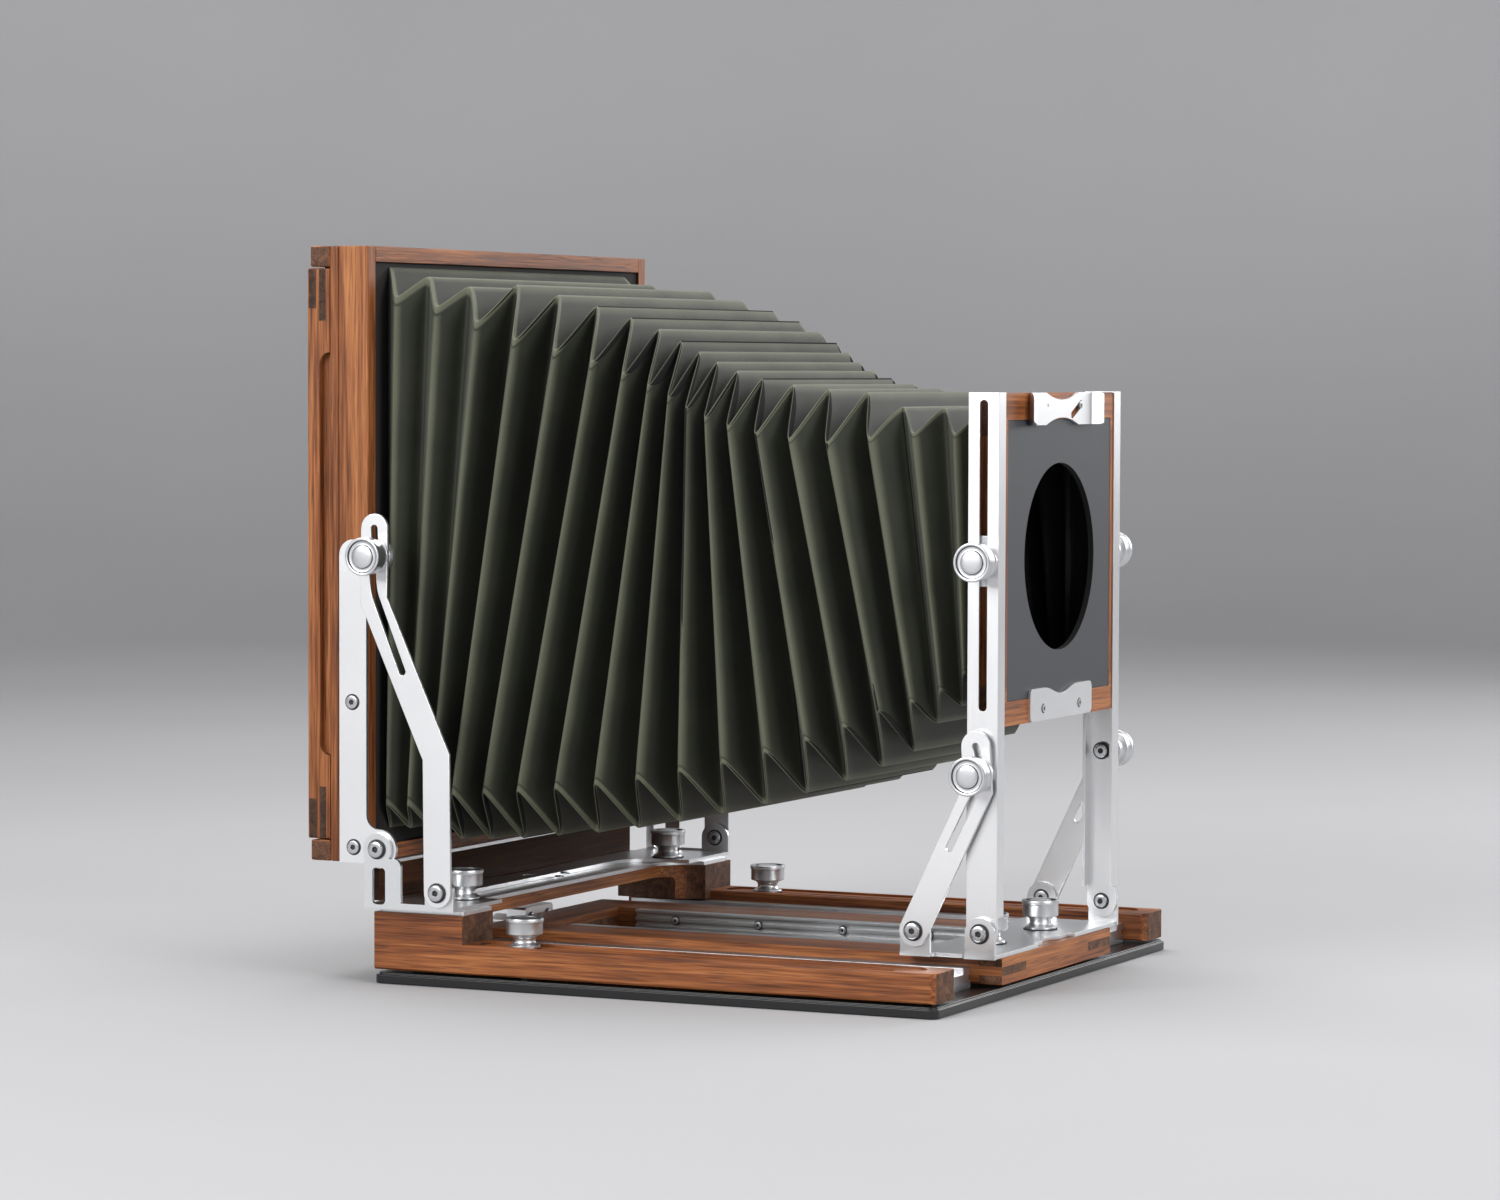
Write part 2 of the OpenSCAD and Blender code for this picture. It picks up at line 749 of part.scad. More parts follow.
module focusing_frame() {
    h = focus_z1 - focus_z0;
    y1 = focus_y + focus_frame_t;
    window = picture - 8;
    color(wood) translate([0, 0, frame_mid_z]) difference() {
        along_y(focus_y, y1) difference() {
            round_rect(frame_size, h, 1.5);
            square(window, center = true);
        }
        along_y(focus_y - 1, glass_y + glass_t) square(glass_size + 0.4, center = true);
        for (sx = [-1, 1], sz = [-1, 1])
            block(sx * clip_x - clip_w / 2 - slip, sx * clip_x + clip_w / 2 + slip, focus_y - 1, glass_y,
                sz * glass_size / 2 - clip_l / 2 - slip, sz * glass_size / 2 + clip_l / 2 + slip);
        pair() side_plate(frame_half - finger_groove_d, finger_groove_d + 1)
            polygon(band([[focus_y, -h / 2 + 62], [focus_y, h / 2 - 62]], 7.5));
    }
}

module ground_glass() {
    color("#dfe8ea") translate([0, 0, frame_mid_z]) along_y(glass_y, glass_y + glass_t) difference() {
        square(glass_size, center = true);
        for (sx = [-1, 1], sy = [-1, 1])
            translate([sx * glass_size / 2, sy * glass_size / 2]) rotate(45) square(16, center = true);
    }
}

// Small plates that hold the glass by its edge
module glass_clips() {
    color(metal) translate([0, 0, frame_mid_z]) for (sx = [-1, 1], sz = [-1, 1])
        block(sx * clip_x - clip_w / 2, sx * clip_x + clip_w / 2, glass_y - clip_t, glass_y,
            sz * glass_size / 2 - clip_l / 2, sz * glass_size / 2 + clip_l / 2);
}

// Two long leaf springs, bowed over the focusing frame, held on the back's rails
module back_springs() {
    y_end = back_y + back_strip_t + back_rail_t;
    y_mid = focus_y + focus_frame_t;
    frame_edge = (focus_z1 - focus_z0) / 2;
    spring_t = 0.8;
    curve = [
        [y_end, -frame_half + 3], [y_end, -frame_half + 8],
        [y_mid + 0.3, -frame_edge - 1], [y_mid + 0.5, -frame_edge / 2],
        [y_mid + 0.5, frame_edge / 2], [y_mid + 0.3, frame_edge + 1],
        [y_end, frame_half - 8], [y_end, frame_half - 3]
    ];
    outline = concat(curve, [for (k = [7 : -1 : 0]) curve[k] + [spring_t, 0]]);
    color(steel) pair() translate([0, 0, frame_mid_z]) side_plate(frame_half - 36, 14) polygon(outline);
}

// Front bed

module bed_frame() {
    edge = 0.8;
    color(wood) difference() {
        union() {
            pair() along_y(bed_y0, bed_y1) polygon(chamfered(bed_in, rail_z, bed_out, bed_top, edge));
            block(-bed_in - eps - edge, bed_in + edge + eps, bed_y0, bed_y0 + bed_front_w, rail_z, bed_top);
            block(-bed_in - eps - edge, bed_in + edge + eps, bed_y1 - bed_rear_w, bed_y1, rail_z, bed_top);
        }
        translate([0, bed_y1 + 1, screw_z]) rotate([90, 0, 0]) cylinder(r = nut_r, h = nut_l + 1);
        translate([0, bed_y1 + 1, screw_z]) rotate([90, 0, 0]) cylinder(r = screw_r + 1, h = bed_rear_w + 2);
        translate([-nut_r, bed_y1 - nut_l, 0]) cube([2 * nut_r, nut_l + 1, screw_z]);
        translate([-screw_r - 1, bed_y1 - bed_rear_w - 1, 0]) cube([2 * screw_r + 2, bed_rear_w + 2, screw_z]);
    }
}

module bed_runners() {
    color(metal) pair() {
        block(bed_out, guide_in - run_gap, guide_y0 + 6, bed_y1 - 20, rail_z, base_t + guide_h - 1);
        block(guide_in - run_gap - eps, guide_in + groove_d - run_gap, guide_y0 + 6, bed_y1 - 20,
            tongue_z, tongue_z + tongue_h);
    }
}

// Extruded track on the inner face of each bed rail, with two grooves
module bed_tracks() {
    z0 = bed_top - track_h;
    color(metal) pair() along_y(track_y0, track_y1) difference() {
        translate([track_in, z0]) square([track_d, track_h]);
        for (z = [z0 + 2.2, z0 + 7.6])
            translate([track_in - 1, z]) square([track_groove + 1, track_groove_h]);
    }
}

module focus_nut() {
    color(brass) difference() {
        translate([0, bed_y1, screw_z]) rotate([90, 0, 0]) cylinder(r = nut_r, h = nut_l);
        translate([0, bed_y1 + 1, screw_z]) rotate([90, 0, 0]) cylinder(r = screw_r + bore_gap, h = nut_l + 2);
        block(-nut_r - 1, nut_r + 1, bed_y1 - nut_l - 1, bed_y1 + 1, 0, rail_z);
    }
}

module focus_screw() {
    color(brass) translate([0, screw_y1, screw_z]) rotate([90, 0, 0]) cylinder(r = screw_r, h = screw_y1 - screw_y0);
}

module focus_knob() {
    y0 = bearing_y1 + run_gap + 0.5;
    r = 11.5;
    color(metal) translate([0, y0, screw_z]) rotate([-90, 0, 0]) difference() {
        union() {
            cylinder(r = 7, h = 5);
            translate([0, 0, 4]) linear_extrude(14) polygon([
                for (k = [0 : 47]) (r - (k % 2) * 0.5) * [cos(7.5 * k), sin(7.5 * k)]
            ]);
        }
        translate([0, 0, -1]) cylinder(r = screw_r, h = screw_y1 - y0 + 1);
    }
}

// Front carriage under the front plate, riding in the bed's tracks
module front_carriage() {
    z1 = bed_top;
    z0 = bed_top - track_h + 5;
    y0 = track_y0 + slip;
    y1 = front_plate_y1 - 6;
    groove_top = bed_top - track_h + 7.6;
    color(metal) union() {
        block(-track_in + run_gap, track_in - run_gap, y0, y1, z0, z1);
        pair() block(track_in - run_gap - eps, track_in + track_groove - run_gap, y0, y1,
            groove_top + 0.2, groove_top + track_groove_h - 0.2);
    }
}

module front_plate_studs() {
    top = front_plate_z + plate_t + run_gap + 15;
    color(steel) pair() translate([front_stud_x, front_stud_y, bed_top]) cylinder(r = front_stud_r, h = top - bed_top);
}

// Bent plate with four ears and two cross slots
module front_plate() {
    z0 = front_plate_z;
    half = front_ear_x + plate_t;
    scallop_l = front_foot_y - upright_y - 2 * front_ear_r;
    color(metal) union() {
        translate([0, 0, z0]) linear_extrude(plate_t) difference() {
            translate([-half, front_plate_y0]) square([2 * half, front_plate_y1 - front_plate_y0]);
            translate([0, front_plate_y0 - 22]) circle(r = 30);
            translate([0, front_plate_y0]) square([64, 8], center = true);
            for (s = [-1, 1]) {
                translate([s * half, upright_y + front_ear_r + scallop_l / 2])
                    round_rect(7, scallop_l - 1, 3);
                polygon(band([[s * front_stud_x - shift_reach, front_stud_y],
                    [s * front_stud_x + shift_reach, front_stud_y]], front_slot_half_w));
            }
            translate([0, front_plate_y1]) round_rect(120, 10, 4.5);
        }
        pair() side_plate(front_ear_x, plate_t) difference() {
            union() {
                for (c = [front_pivot, front_foot]) {
                    translate(c) circle(r = front_ear_r);
                    translate([c[0] - front_ear_r, z0]) square([2 * front_ear_r, front_pivot_z - z0]);
                }
            }
            translate(front_pivot) circle(r = screw_shaft_r + bore_gap);
            translate(front_foot) circle(r = screw_shaft_r);
        }
    }
}

module front_strut_screws() {
    color(steel) pair() shoulder_screw(front_ear_x, front_strut_face_x + run_gap, front_foot_y, front_pivot_z);
}

module front_plate_knob_right() {
    translate([front_stud_x, front_stud_y, front_plate_z + plate_t + run_gap]) knob(front_stud_r + bore_gap, 15.3);
}
module front_plate_knob_left() { mirror([1, 0, 0]) front_plate_knob_right(); }

// Uprights: channels open towards the lens frame, with a rise slot in the web
module upright() {
    x1 = upright_in + upright_w;
    x_web = x1 - upright_web;
    y0 = upright_y - upright_d / 2;
    r = upright_d / 2;
    z1 = upright_top;
    color(metal) difference() {
        intersection() {
            difference() {
                block(upright_in, x1, y0, y0 + upright_d, front_pivot_z - r, z1);
                block(upright_in - 1, x_web, y0 + upright_flange, y0 + upright_d - upright_flange,
                    front_pivot_z + r, z1 + 1);
                block(upright_in - 1, x_web, y0 - 1, y0 + upright_d + 1, front_pivot_z - r - 1, front_pivot_z + r + eps);
            }
            side_plate(upright_in - 1, upright_w + 2) union() {
                translate([y0, front_pivot_z]) square([upright_d, z1 - front_pivot_z]);
                translate(front_pivot) circle(r = r);
            }
        }
        side_plate(x_web - 1, upright_web + 2)
            polygon(band([[upright_y, rise_slot_z0], [upright_y, rise_slot_z1]], rise_slot_half_w));
        across_x(x_web - 1, x1 + 1, upright_y, front_pivot_z, screw_shaft_r);
        across_x(x_web - 1, x1 + 1, upright_y, front_stud_z, stud_r);
    }
}
module upright_right() { upright(); }
module upright_left() { mirror([1, 0, 0]) upright(); }

module upright_studs() {
    x_web = upright_in + upright_w - upright_web;
    x1 = upright_in + upright_w;
    color(steel) pair() {
        shoulder_screw(x_web, front_ear_x + plate_t + run_gap, upright_y, front_pivot_z);
        across_x(x_web - 2, x_web, upright_y, front_stud_z, 5);
        across_x(x_web - eps, front_strut_face_x + run_gap + 14.7, upright_y, front_stud_z, stud_r);
        across_x(x1, front_strut_x - run_gap, upright_y, front_stud_z, 8);
    }
}

module front_strut() {
    line = [front_slot[0], front_foot + [-43.6, 91.5], front_foot];
    color(metal) side_plate(front_strut_x, plate_t) difference() {
        polygon(band(line, strut_w / 2));
        polygon(band(front_slot, strut_slot_w / 2, 10));
        translate(front_foot) circle(r = screw_shaft_r + bore_gap);
    }
}
module front_strut_right() { front_strut(); }
module front_strut_left() { mirror([1, 0, 0]) front_strut(); }

module front_tilt_knob_right() { side_knob(front_strut_face_x + run_gap, upright_y, front_stud_z); }
module front_tilt_knob_left() { mirror([1, 0, 0]) front_tilt_knob_right(); }

// Slide blocks in the channels, each with the stud that carries the lens frame
module lens_slides() {
    x_web = upright_in + upright_w - upright_web;
    knob_x = upright_in + upright_w + 1.5;
    half_y = upright_d / 2 - upright_flange - slip;
    color(steel) pair() union() {
        block(lens_frame_w / 2 + run_gap, x_web - slip, upright_y - half_y, upright_y + half_y,
            lens_z - 16, lens_z + 16);
        across_x(lens_frame_w / 2 - 12, knob_x + 14.7, upright_y, lens_z, rise_stud_r);
    }
}

module rise_knob_right() {
    translate([upright_in + upright_w + run_gap, upright_y, lens_z]) rotate([0, 90, 0])
        knob(rise_stud_r + bore_gap, 16.5);
}
module rise_knob_left() { mirror([1, 0, 0]) rise_knob_right(); }

// Lens frame and lens board

module lens_frame() {
    mid_z = (lens_frame_z0 + lens_frame_z1) / 2;
    color(wood) difference() {
        translate([0, 0, mid_z]) along_y(lens_frame_y0, lens_frame_y1) round_rect(lens_frame_w, lens_frame_h, 1);
        translate([0, 0, board_mid_z]) along_y(lens_frame_y0 - 1, lens_frame_y1 + 1)
            square(2 * lens_opening_half, center = true);
        translate([0, 0, board_mid_z]) along_y(lens_frame_y0 - 1, lens_frame_y0 + board_t)
            square(lens_board + 2 * run_gap, center = true);
        across_x(-lens_frame_w / 2 - 1, -lens_frame_w / 2 + 12.5, upright_y, lens_z, rise_stud_r + bore_gap);
        across_x(lens_frame_w / 2 - 12.5, lens_frame_w / 2 + 1, upright_y, lens_z, rise_stud_r + bore_gap);
    }
}

module lens_board() {
    color("#303338") difference() {
        translate([0, 0, board_mid_z]) along_y(lens_frame_y0 + 0.2, lens_frame_y0 + board_t)
            round_rect(lens_board, lens_board, 1);
        translate([0, lens_frame_y0 + board_t + 1, lens_z]) rotate([90, 0, 0])
            cylinder(r = lens_hole_r, h = board_t + 2, $fn = 96);
    }
}

// Fixed lip that holds the lens board's lower edge, with a dipped top
module lens_board_lip() {
    half = 53.7;
    top = 194.2;
    dip_half = 29;
    dip = 5;
    color(metal) along_y(lens_frame_y0 - 1.8, lens_frame_y0 - 0.1) difference() {
        translate([0, (lip_z0 + top) / 2]) round_rect(2 * half, top - lip_z0, 4);
        polygon(concat(
            [for (k = [-8 : 8]) [k * dip_half / 8, top - dip * (1 + cos(180 * k / 8)) / 2]],
            [[dip_half + 1, top + 1], [-dip_half - 1, top + 1]]
        ));
        for (s = [-1, 1]) translate([s * 31.5, lip_z0 + 7.7]) circle(r = 1.8);
    }
}

// Sliding latch over the lens board's upper edge: drawn in at its middle, with a slanted slot
// and a thumb tab bent outwards at each end
module lens_board_latch() {
    half = 52.5;
    mid_x = -2.4;
    low = 363.3;
    top = 384.2;
    mid = (low + top) / 2;
    waist = 4.7;
    waist_half = 28;
    waist_r = (pow(waist_half, 2) + pow(waist, 2)) / (2 * waist);
    latch_t = 2.1;
    tab = 10;
    tab_turn = 40;
    y0 = lens_frame_y0 - 0.3 - latch_t;
    tab_x = half + tab * cos(tab_turn);
    tab_y = y0 + latch_t - tab * sin(tab_turn);
    color(metal) translate([mid_x, 0, 0]) union() {
        along_y(y0, y0 + latch_t) difference() {
            translate([0, mid]) square([2 * half, top - low], center = true);
            for (s = [-1, 1]) translate([0, mid + s * ((top - low) / 2 - waist + waist_r)])
                circle(r = waist_r, $fn = 180);
            polygon(band([[17.2, mid - 4.2], [32.6, mid + 3.1]], 2.4, 8));
            translate([-25.4, mid + 2.2]) circle(r = 1.2);
        }
        for (s = [0, 1]) mirror([s, 0, 0]) intersection() {
            translate([0, 0, low - 1]) linear_extrude(top - low + 2) polygon([
                [half - 1, y0 + latch_t], [half - 1, y0], [half - latch_t * tan(tab_turn / 2), y0],
                [tab_x - latch_t * sin(tab_turn), tab_y - latch_t * cos(tab_turn)], [tab_x, tab_y],
                [half, y0 + latch_t]
            ]);
            along_y(y0 - tab, y0 + latch_t + 1) translate([0, mid]) round_rect(2 * tab_x, top - low, 4);
        }
    }
}

module bellows_front_frame() {
    outer = 2 * lens_opening_half + 12;
    z_mid = (bellows_top1 + bellows_low1) / 2;
    color("#2a211d") along_y(lens_frame_y1 + 0.02, bellows_y1 - 0.05) difference() {
        translate([0, z_mid]) round_rect(outer, outer + 22, 2);
        translate([0, z_mid]) round_rect(outer - 2 * bellows_end_w, outer + 2, 1);
    }
}

// Bellows: rectangles in turn wide and low, then narrow and high, joined by flat folds

function ramp(x) = let(c = min(1, max(0, x))) c * c * (3 - 2 * c);
function mix(a, b, t) = a + (b - a) * t;
function pleat_depth(t) = mix(pleat_end_d, pleat_mid_d, ramp((t - 0.113) / 0.06) * ramp((0.89 - t) / 0.06));
function wave(t, n) = sin(360 * n * t) / (2 * PI * n);
function top_run(t) = t + 0.363 * wave(t, 1) - 0.141 * wave(t, 2) - 0.081 * (cos(360 * t) - 1) / (2 * PI);
function low_run(t) = t - 0.392 * wave(t, 1) - 0.045 * wave(t, 2) + 0.028 * (cos(360 * t) - 1) / (2 * PI);
function top_z(t) = mix(bellows_top0, bellows_top1, t) - top_sag * sin(180 * t) + 5.2 * sin(360 * t);
function low_z(t) = mix(bellows_low0, bellows_low1, t) - bottom_sag * sin(180 * t);
function half_w(t) = mix(bellows_half0, bellows_half1, t) + 5.2 * sin(180 * t) - 3.8 * sin(360 * t);

sections = 2 * pleats;

// The four corners of section i, taken in by an amount: low left, low right, top right, top left
function section(i, in_by) = let(
    t = i / sections,
    d = (i % 2 == 0 ? 1 : -1) * pleat_depth(t) / 2,
    w = half_w(t) - d - in_by,
    yt = mix(bellows_y0, bellows_y1, top_run(t)),
    yl = mix(bellows_y0, bellows_y1, low_run(t)),
    zt = top_z(t) + d - in_by,
    zl = low_z(t) - d + in_by
) [[-w, yl, zl], [w, yl, zl], [w, yt, zt], [-w, yt, zt]];

module bellows() {
    n = sections;
    outer = [for (i = [0 : n]) each section(i, 0)];
    inner = [for (i = [0 : n]) each section(i, bellows_wall)];
    m = 4 * (n + 1);
    walls = [
        for (i = [0 : n - 1], k = [0 : 3]) let(
            a = 4 * i + k,
            b = 4 * i + (k + 1) % 4,
            c = a + 4,
            d = b + 4
        ) each [[a, b, d], [a, d, c], [m + a, m + d, m + b], [m + a, m + c, m + d]]
    ];
    ends = [
        for (k = [0 : 3]) let(
            a = k,
            b = (k + 1) % 4,
            c = 4 * n + k,
            d = 4 * n + (k + 1) % 4
        ) each [[a, m + a, m + b], [a, m + b, b], [c, d, m + d], [c, m + d, m + c]]
    ];
    color("#59604a") polyhedron(points = concat(outer, inner), faces = concat(walls, ends));
}

base_plate();
tripod_bush();
guide_rails();
rail_studs();
screw_bearing();
side_rail_left();
side_rail_right();
bridge_beam();
carriage_runners();
rear_lower_plate();
rear_plate_studs();
rail_knob_left();
rail_knob_right();
rear_plate_knob_left();
rear_plate_knob_right();
rear_upper_plate();
rear_sill();
sill_cap();
rear_strut_screws();
rear_strut_left();
rear_strut_right();
rear_frame();
rear_brackets();
rear_frame_studs();
reversing_back();
bellows_rear_frame();
rear_tilt_knob_left();
rear_tilt_knob_right();
focusing_frame();
ground_glass();
glass_clips();
back_springs();
bed_frame();
bed_runners();
bed_tracks();
focus_nut();
focus_screw();
focus_knob();
front_carriage();
front_plate_studs();
front_plate();
front_strut_screws();
front_plate_knob_left();
front_plate_knob_right();
upright_left();
upright_right();
upright_studs();
front_strut_left();
front_strut_right();
front_tilt_knob_left();
front_tilt_knob_right();
lens_slides();
rise_knob_left();
rise_knob_right();
lens_frame();
lens_board();
lens_board_lip();
lens_board_latch();
bellows_front_frame();
bellows();
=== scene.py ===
"""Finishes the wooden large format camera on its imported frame: wood, metal, cloth, light and camera."""
import json
import math

import bmesh
import bpy
from mathutils import Matrix, Vector


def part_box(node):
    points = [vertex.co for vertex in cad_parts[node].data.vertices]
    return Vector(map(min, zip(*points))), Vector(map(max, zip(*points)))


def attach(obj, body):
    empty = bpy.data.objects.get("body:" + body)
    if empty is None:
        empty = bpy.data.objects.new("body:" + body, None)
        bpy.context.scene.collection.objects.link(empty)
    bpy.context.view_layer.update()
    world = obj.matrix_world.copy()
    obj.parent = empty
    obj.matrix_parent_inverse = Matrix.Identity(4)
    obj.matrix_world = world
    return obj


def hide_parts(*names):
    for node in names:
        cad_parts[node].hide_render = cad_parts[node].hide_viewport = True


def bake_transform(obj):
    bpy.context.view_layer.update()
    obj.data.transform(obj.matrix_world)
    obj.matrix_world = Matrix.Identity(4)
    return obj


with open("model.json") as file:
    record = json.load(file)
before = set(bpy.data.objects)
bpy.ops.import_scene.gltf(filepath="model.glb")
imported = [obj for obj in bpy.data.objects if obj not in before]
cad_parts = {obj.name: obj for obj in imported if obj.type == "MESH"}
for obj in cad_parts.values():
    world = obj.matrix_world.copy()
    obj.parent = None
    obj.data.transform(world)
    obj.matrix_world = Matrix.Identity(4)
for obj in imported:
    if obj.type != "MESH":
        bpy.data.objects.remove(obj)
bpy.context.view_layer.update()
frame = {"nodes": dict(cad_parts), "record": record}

BODY_OF = {
    node: body
    for body, nodes in frame["record"]["behaviour"]["bodies"].items()
    for node in nodes
}
MM = 0.001


# Wiring: arithmetic on the sockets of a material or of a geometry tree


class Wire:
    """One value in a node tree, which plain arithmetic turns into the next one."""

    def __init__(self, tree, socket):
        self.tree = tree
        self.socket = socket

    def step(self, operation, *others):
        math_node = self.tree.nodes.new("ShaderNodeMath")
        math_node.operation = operation
        for place, value in enumerate((self, *others)):
            plug(self.tree, value, math_node.inputs[place])
        return Wire(self.tree, math_node.outputs[0])

    def __add__(self, other):
        return self.step("ADD", other)

    def __sub__(self, other):
        return self.step("SUBTRACT", other)

    def __mul__(self, other):
        return self.step("MULTIPLY", other)

    def __truediv__(self, other):
        return self.step("DIVIDE", other)

    def __neg__(self):
        return self.step("MULTIPLY", -1.0)

    def __radd__(self, other):
        return self + other

    def __rmul__(self, other):
        return self * other

    def __rsub__(self, other):
        return -self + other

    def sin(self):
        return self.step("SINE")

    def cos(self):
        return self.step("COSINE")

    def arcsin(self):
        return self.step("ARCSINE")

    def size(self):
        return self.step("ABSOLUTE")

    def power(self, other):
        return self.step("POWER", other)

    def least(self, other):
        return self.step("MINIMUM", other)

    def most(self, other):
        return self.step("MAXIMUM", other)

    def between(self, low, high):
        return self.most(low).least(high)

    def ramp(self, low, high):
        """0 below low, 1 above high, and a smooth rise between them."""
        rise = self.tree.nodes.new("ShaderNodeMapRange")
        rise.interpolation_type = "SMOOTHSTEP"
        plug(self.tree, self, rise.inputs["Value"])
        plug(self.tree, low, rise.inputs["From Min"])
        plug(self.tree, high, rise.inputs["From Max"])
        return Wire(self.tree, rise.outputs["Result"])


def plug(tree, value, socket):
    """Puts a Wire, a socket or a plain value into a socket."""
    if isinstance(value, Wire):
        tree.links.new(value.socket, socket)
    elif isinstance(value, bpy.types.NodeSocket):
        tree.links.new(value, socket)
    else:
        socket.default_value = value


# Materials


class Finish:
    """A material under construction: its tree, its shader, and patterns in the piece's own space."""

    def __init__(self, name, base, roughness, metallic=0.0):
        self.material = bpy.data.materials.new(name)
        self.material.use_nodes = True
        self.tree = self.material.node_tree
        self.shader = self.tree.nodes["Principled BSDF"]
        self.shader.inputs["Base Color"].default_value = (*base, 1)
        self.shader.inputs["Roughness"].default_value = roughness
        self.shader.inputs["Metallic"].default_value = metallic
        self.place = self.tree.nodes.new("ShaderNodeTexCoord").outputs["Object"]

    def axes(self, source):
        split = self.tree.nodes.new("ShaderNodeSeparateXYZ")
        plug(self.tree, source, split.inputs[0])
        return [Wire(self.tree, split.outputs[k]) for k in range(3)]

    def stretched(self, scale, offset=(0, 0, 0)):
        mapping = self.tree.nodes.new("ShaderNodeMapping")
        plug(self.tree, self.place, mapping.inputs["Vector"])
        mapping.inputs["Scale"].default_value = scale
        mapping.inputs["Location"].default_value = offset
        return mapping.outputs["Vector"]

    def noise(self, scale, detail=4.0, stretch=(1, 1, 1), roughness=0.5, offset=(0, 0, 0), warp=0.0):
        texture = self.tree.nodes.new("ShaderNodeTexNoise")
        plug(self.tree, self.stretched(stretch, offset), texture.inputs["Vector"])
        texture.inputs["Scale"].default_value = scale
        texture.inputs["Detail"].default_value = detail
        texture.inputs["Roughness"].default_value = roughness
        texture.inputs["Distortion"].default_value = warp
        return Wire(self.tree, texture.outputs[0])

    def colour(self, factor, *stops):
        """A colour run over a factor; each stop is (position, colour)."""
        run = self.tree.nodes.new("ShaderNodeValToRGB")
        run.color_ramp.elements[0].position = stops[0][0]
        run.color_ramp.elements[0].color = (*stops[0][1], 1)
        run.color_ramp.elements[1].position = stops[-1][0]
        run.color_ramp.elements[1].color = (*stops[-1][1], 1)
        for position, tone in stops[1:-1]:
            run.color_ramp.elements.new(position).color = (*tone, 1)
        plug(self.tree, factor, run.inputs["Fac"])
        return run.outputs["Color"]

    def blend(self, factor, first, second, way="MIX"):
        mix = self.tree.nodes.new("ShaderNodeMix")
        mix.data_type = "RGBA"
        mix.blend_type = way
        plug(self.tree, factor, mix.inputs[0])
        for value, socket in ((first, mix.inputs[6]), (second, mix.inputs[7])):
            plug(self.tree, (*value, 1) if isinstance(value, tuple) else value, socket)
        return mix.outputs[2]

    def bump(self, height, strength, distance):
        relief = self.tree.nodes.new("ShaderNodeBump")
        relief.inputs["Strength"].default_value = strength
        relief.inputs["Distance"].default_value = distance
        plug(self.tree, height, relief.inputs["Height"])
        plug(self.tree, relief.outputs["Normal"], self.shader.inputs["Normal"])

    def set(self, **values):
        for name, value in values.items():
            plug(self.tree, value, self.shader.inputs[name.replace("_", " ")])
        return self


# Walnut's colours over its grain, from dark lines to light ones, and over the rings of its ends
LONG_GRAIN = (
    (0.2, (0.066, 0.018, 0.006)),
    (0.42, (0.18, 0.055, 0.016)),
    (0.6, (0.3, 0.104, 0.032)),
    (0.82, (0.44, 0.178, 0.06)),
)
END_RINGS = ((0.3, (0.04, 0.017, 0.009)), (0.7, (0.16, 0.07, 0.034)))
PORE = (0.035, 0.012, 0.006)
# Its patterns in waves per metre: along the grain, and on the ends
BANDS, BROAD, STREAKS, PORES = 72, 9, 560, 1100
RINGS, SPECKS = 160, 900
# How far the patterns are drawn out along the grain
LONG_BANDS, LONG_PORES = 0.045, 0.03
# How squarely a face has to cross the grain to show its end
END_ON = (0.75, 0.95)


def drawn_out(axis, share):
    """Scale of a pattern that is drawn out along one axis; the axis may be None."""
    return tuple(share if k == axis else 1.0 for k in range(3))


def toned(stops, tone):
    """Colour stops made lighter or darker."""
    return [(position, tuple(value * tone for value in colour)) for position, colour in stops]


def walnut(name, grain, tone=1.0, offset=(0, 0, 0), roughness=0.42, shine=0.3):
    """Oiled walnut whose grain runs along one axis; faces across that axis show end grain."""
    finish = Finish(name, (0.3, 0.12, 0.05), roughness)
    along = drawn_out(grain, LONG_BANDS)
    pores_along = drawn_out(grain, LONG_PORES)
    across = drawn_out(grain, 0.0)
    bands = finish.noise(BANDS, 3.0, along, 0.55, offset, 0.5)
    broad = finish.noise(BROAD, 2.0, along, 0.5, offset)
    streaks = finish.noise(STREAKS, 2.0, pores_along, 0.6, offset)
    pores = finish.noise(PORES, 1.0, pores_along, 0.5, offset).ramp(0.6, 0.7)
    factor = (bands * 0.42 + streaks * 0.45 + broad * 0.2 - 0.535) * 2.1 + 0.5
    long_grain = finish.colour(factor, *toned(LONG_GRAIN, tone))
    rings = finish.noise(RINGS, 3.0, across, 0.6, offset, 0.8)
    specks = finish.noise(SPECKS, 1.0, across, 0.5, offset).ramp(0.5, 0.62)
    end_grain = finish.colour(rings - specks * 0.14, *toned(END_RINGS, tone))
    facing = finish.tree.nodes.new("ShaderNodeNewGeometry")
    turn = finish.tree.nodes.new("ShaderNodeVectorTransform")
    turn.vector_type = "NORMAL"
    turn.convert_from = "WORLD"
    turn.convert_to = "OBJECT"
    plug(finish.tree, facing.outputs["True Normal"], turn.inputs[0])
    end_on = finish.axes(turn.outputs[0])[grain].size().ramp(*END_ON)
    dark_pores = finish.blend(pores * 0.55, long_grain, PORE)
    finish.set(Base_Color=finish.blend(end_on, dark_pores, end_grain))
    finish.set(Roughness=streaks * 0.22 + (roughness - 0.08) + end_on * 0.15)
    finish.bump(streaks * 0.6 - pores * 0.9 - specks * end_on * 0.6, 0.32, 0.00025)
    finish.shader.inputs["Coat Weight"].default_value = 0.04
    finish.shader.inputs["Coat Roughness"].default_value = 0.3
    finish.shader.inputs["Specular IOR Level"].default_value = shine
    return finish.material


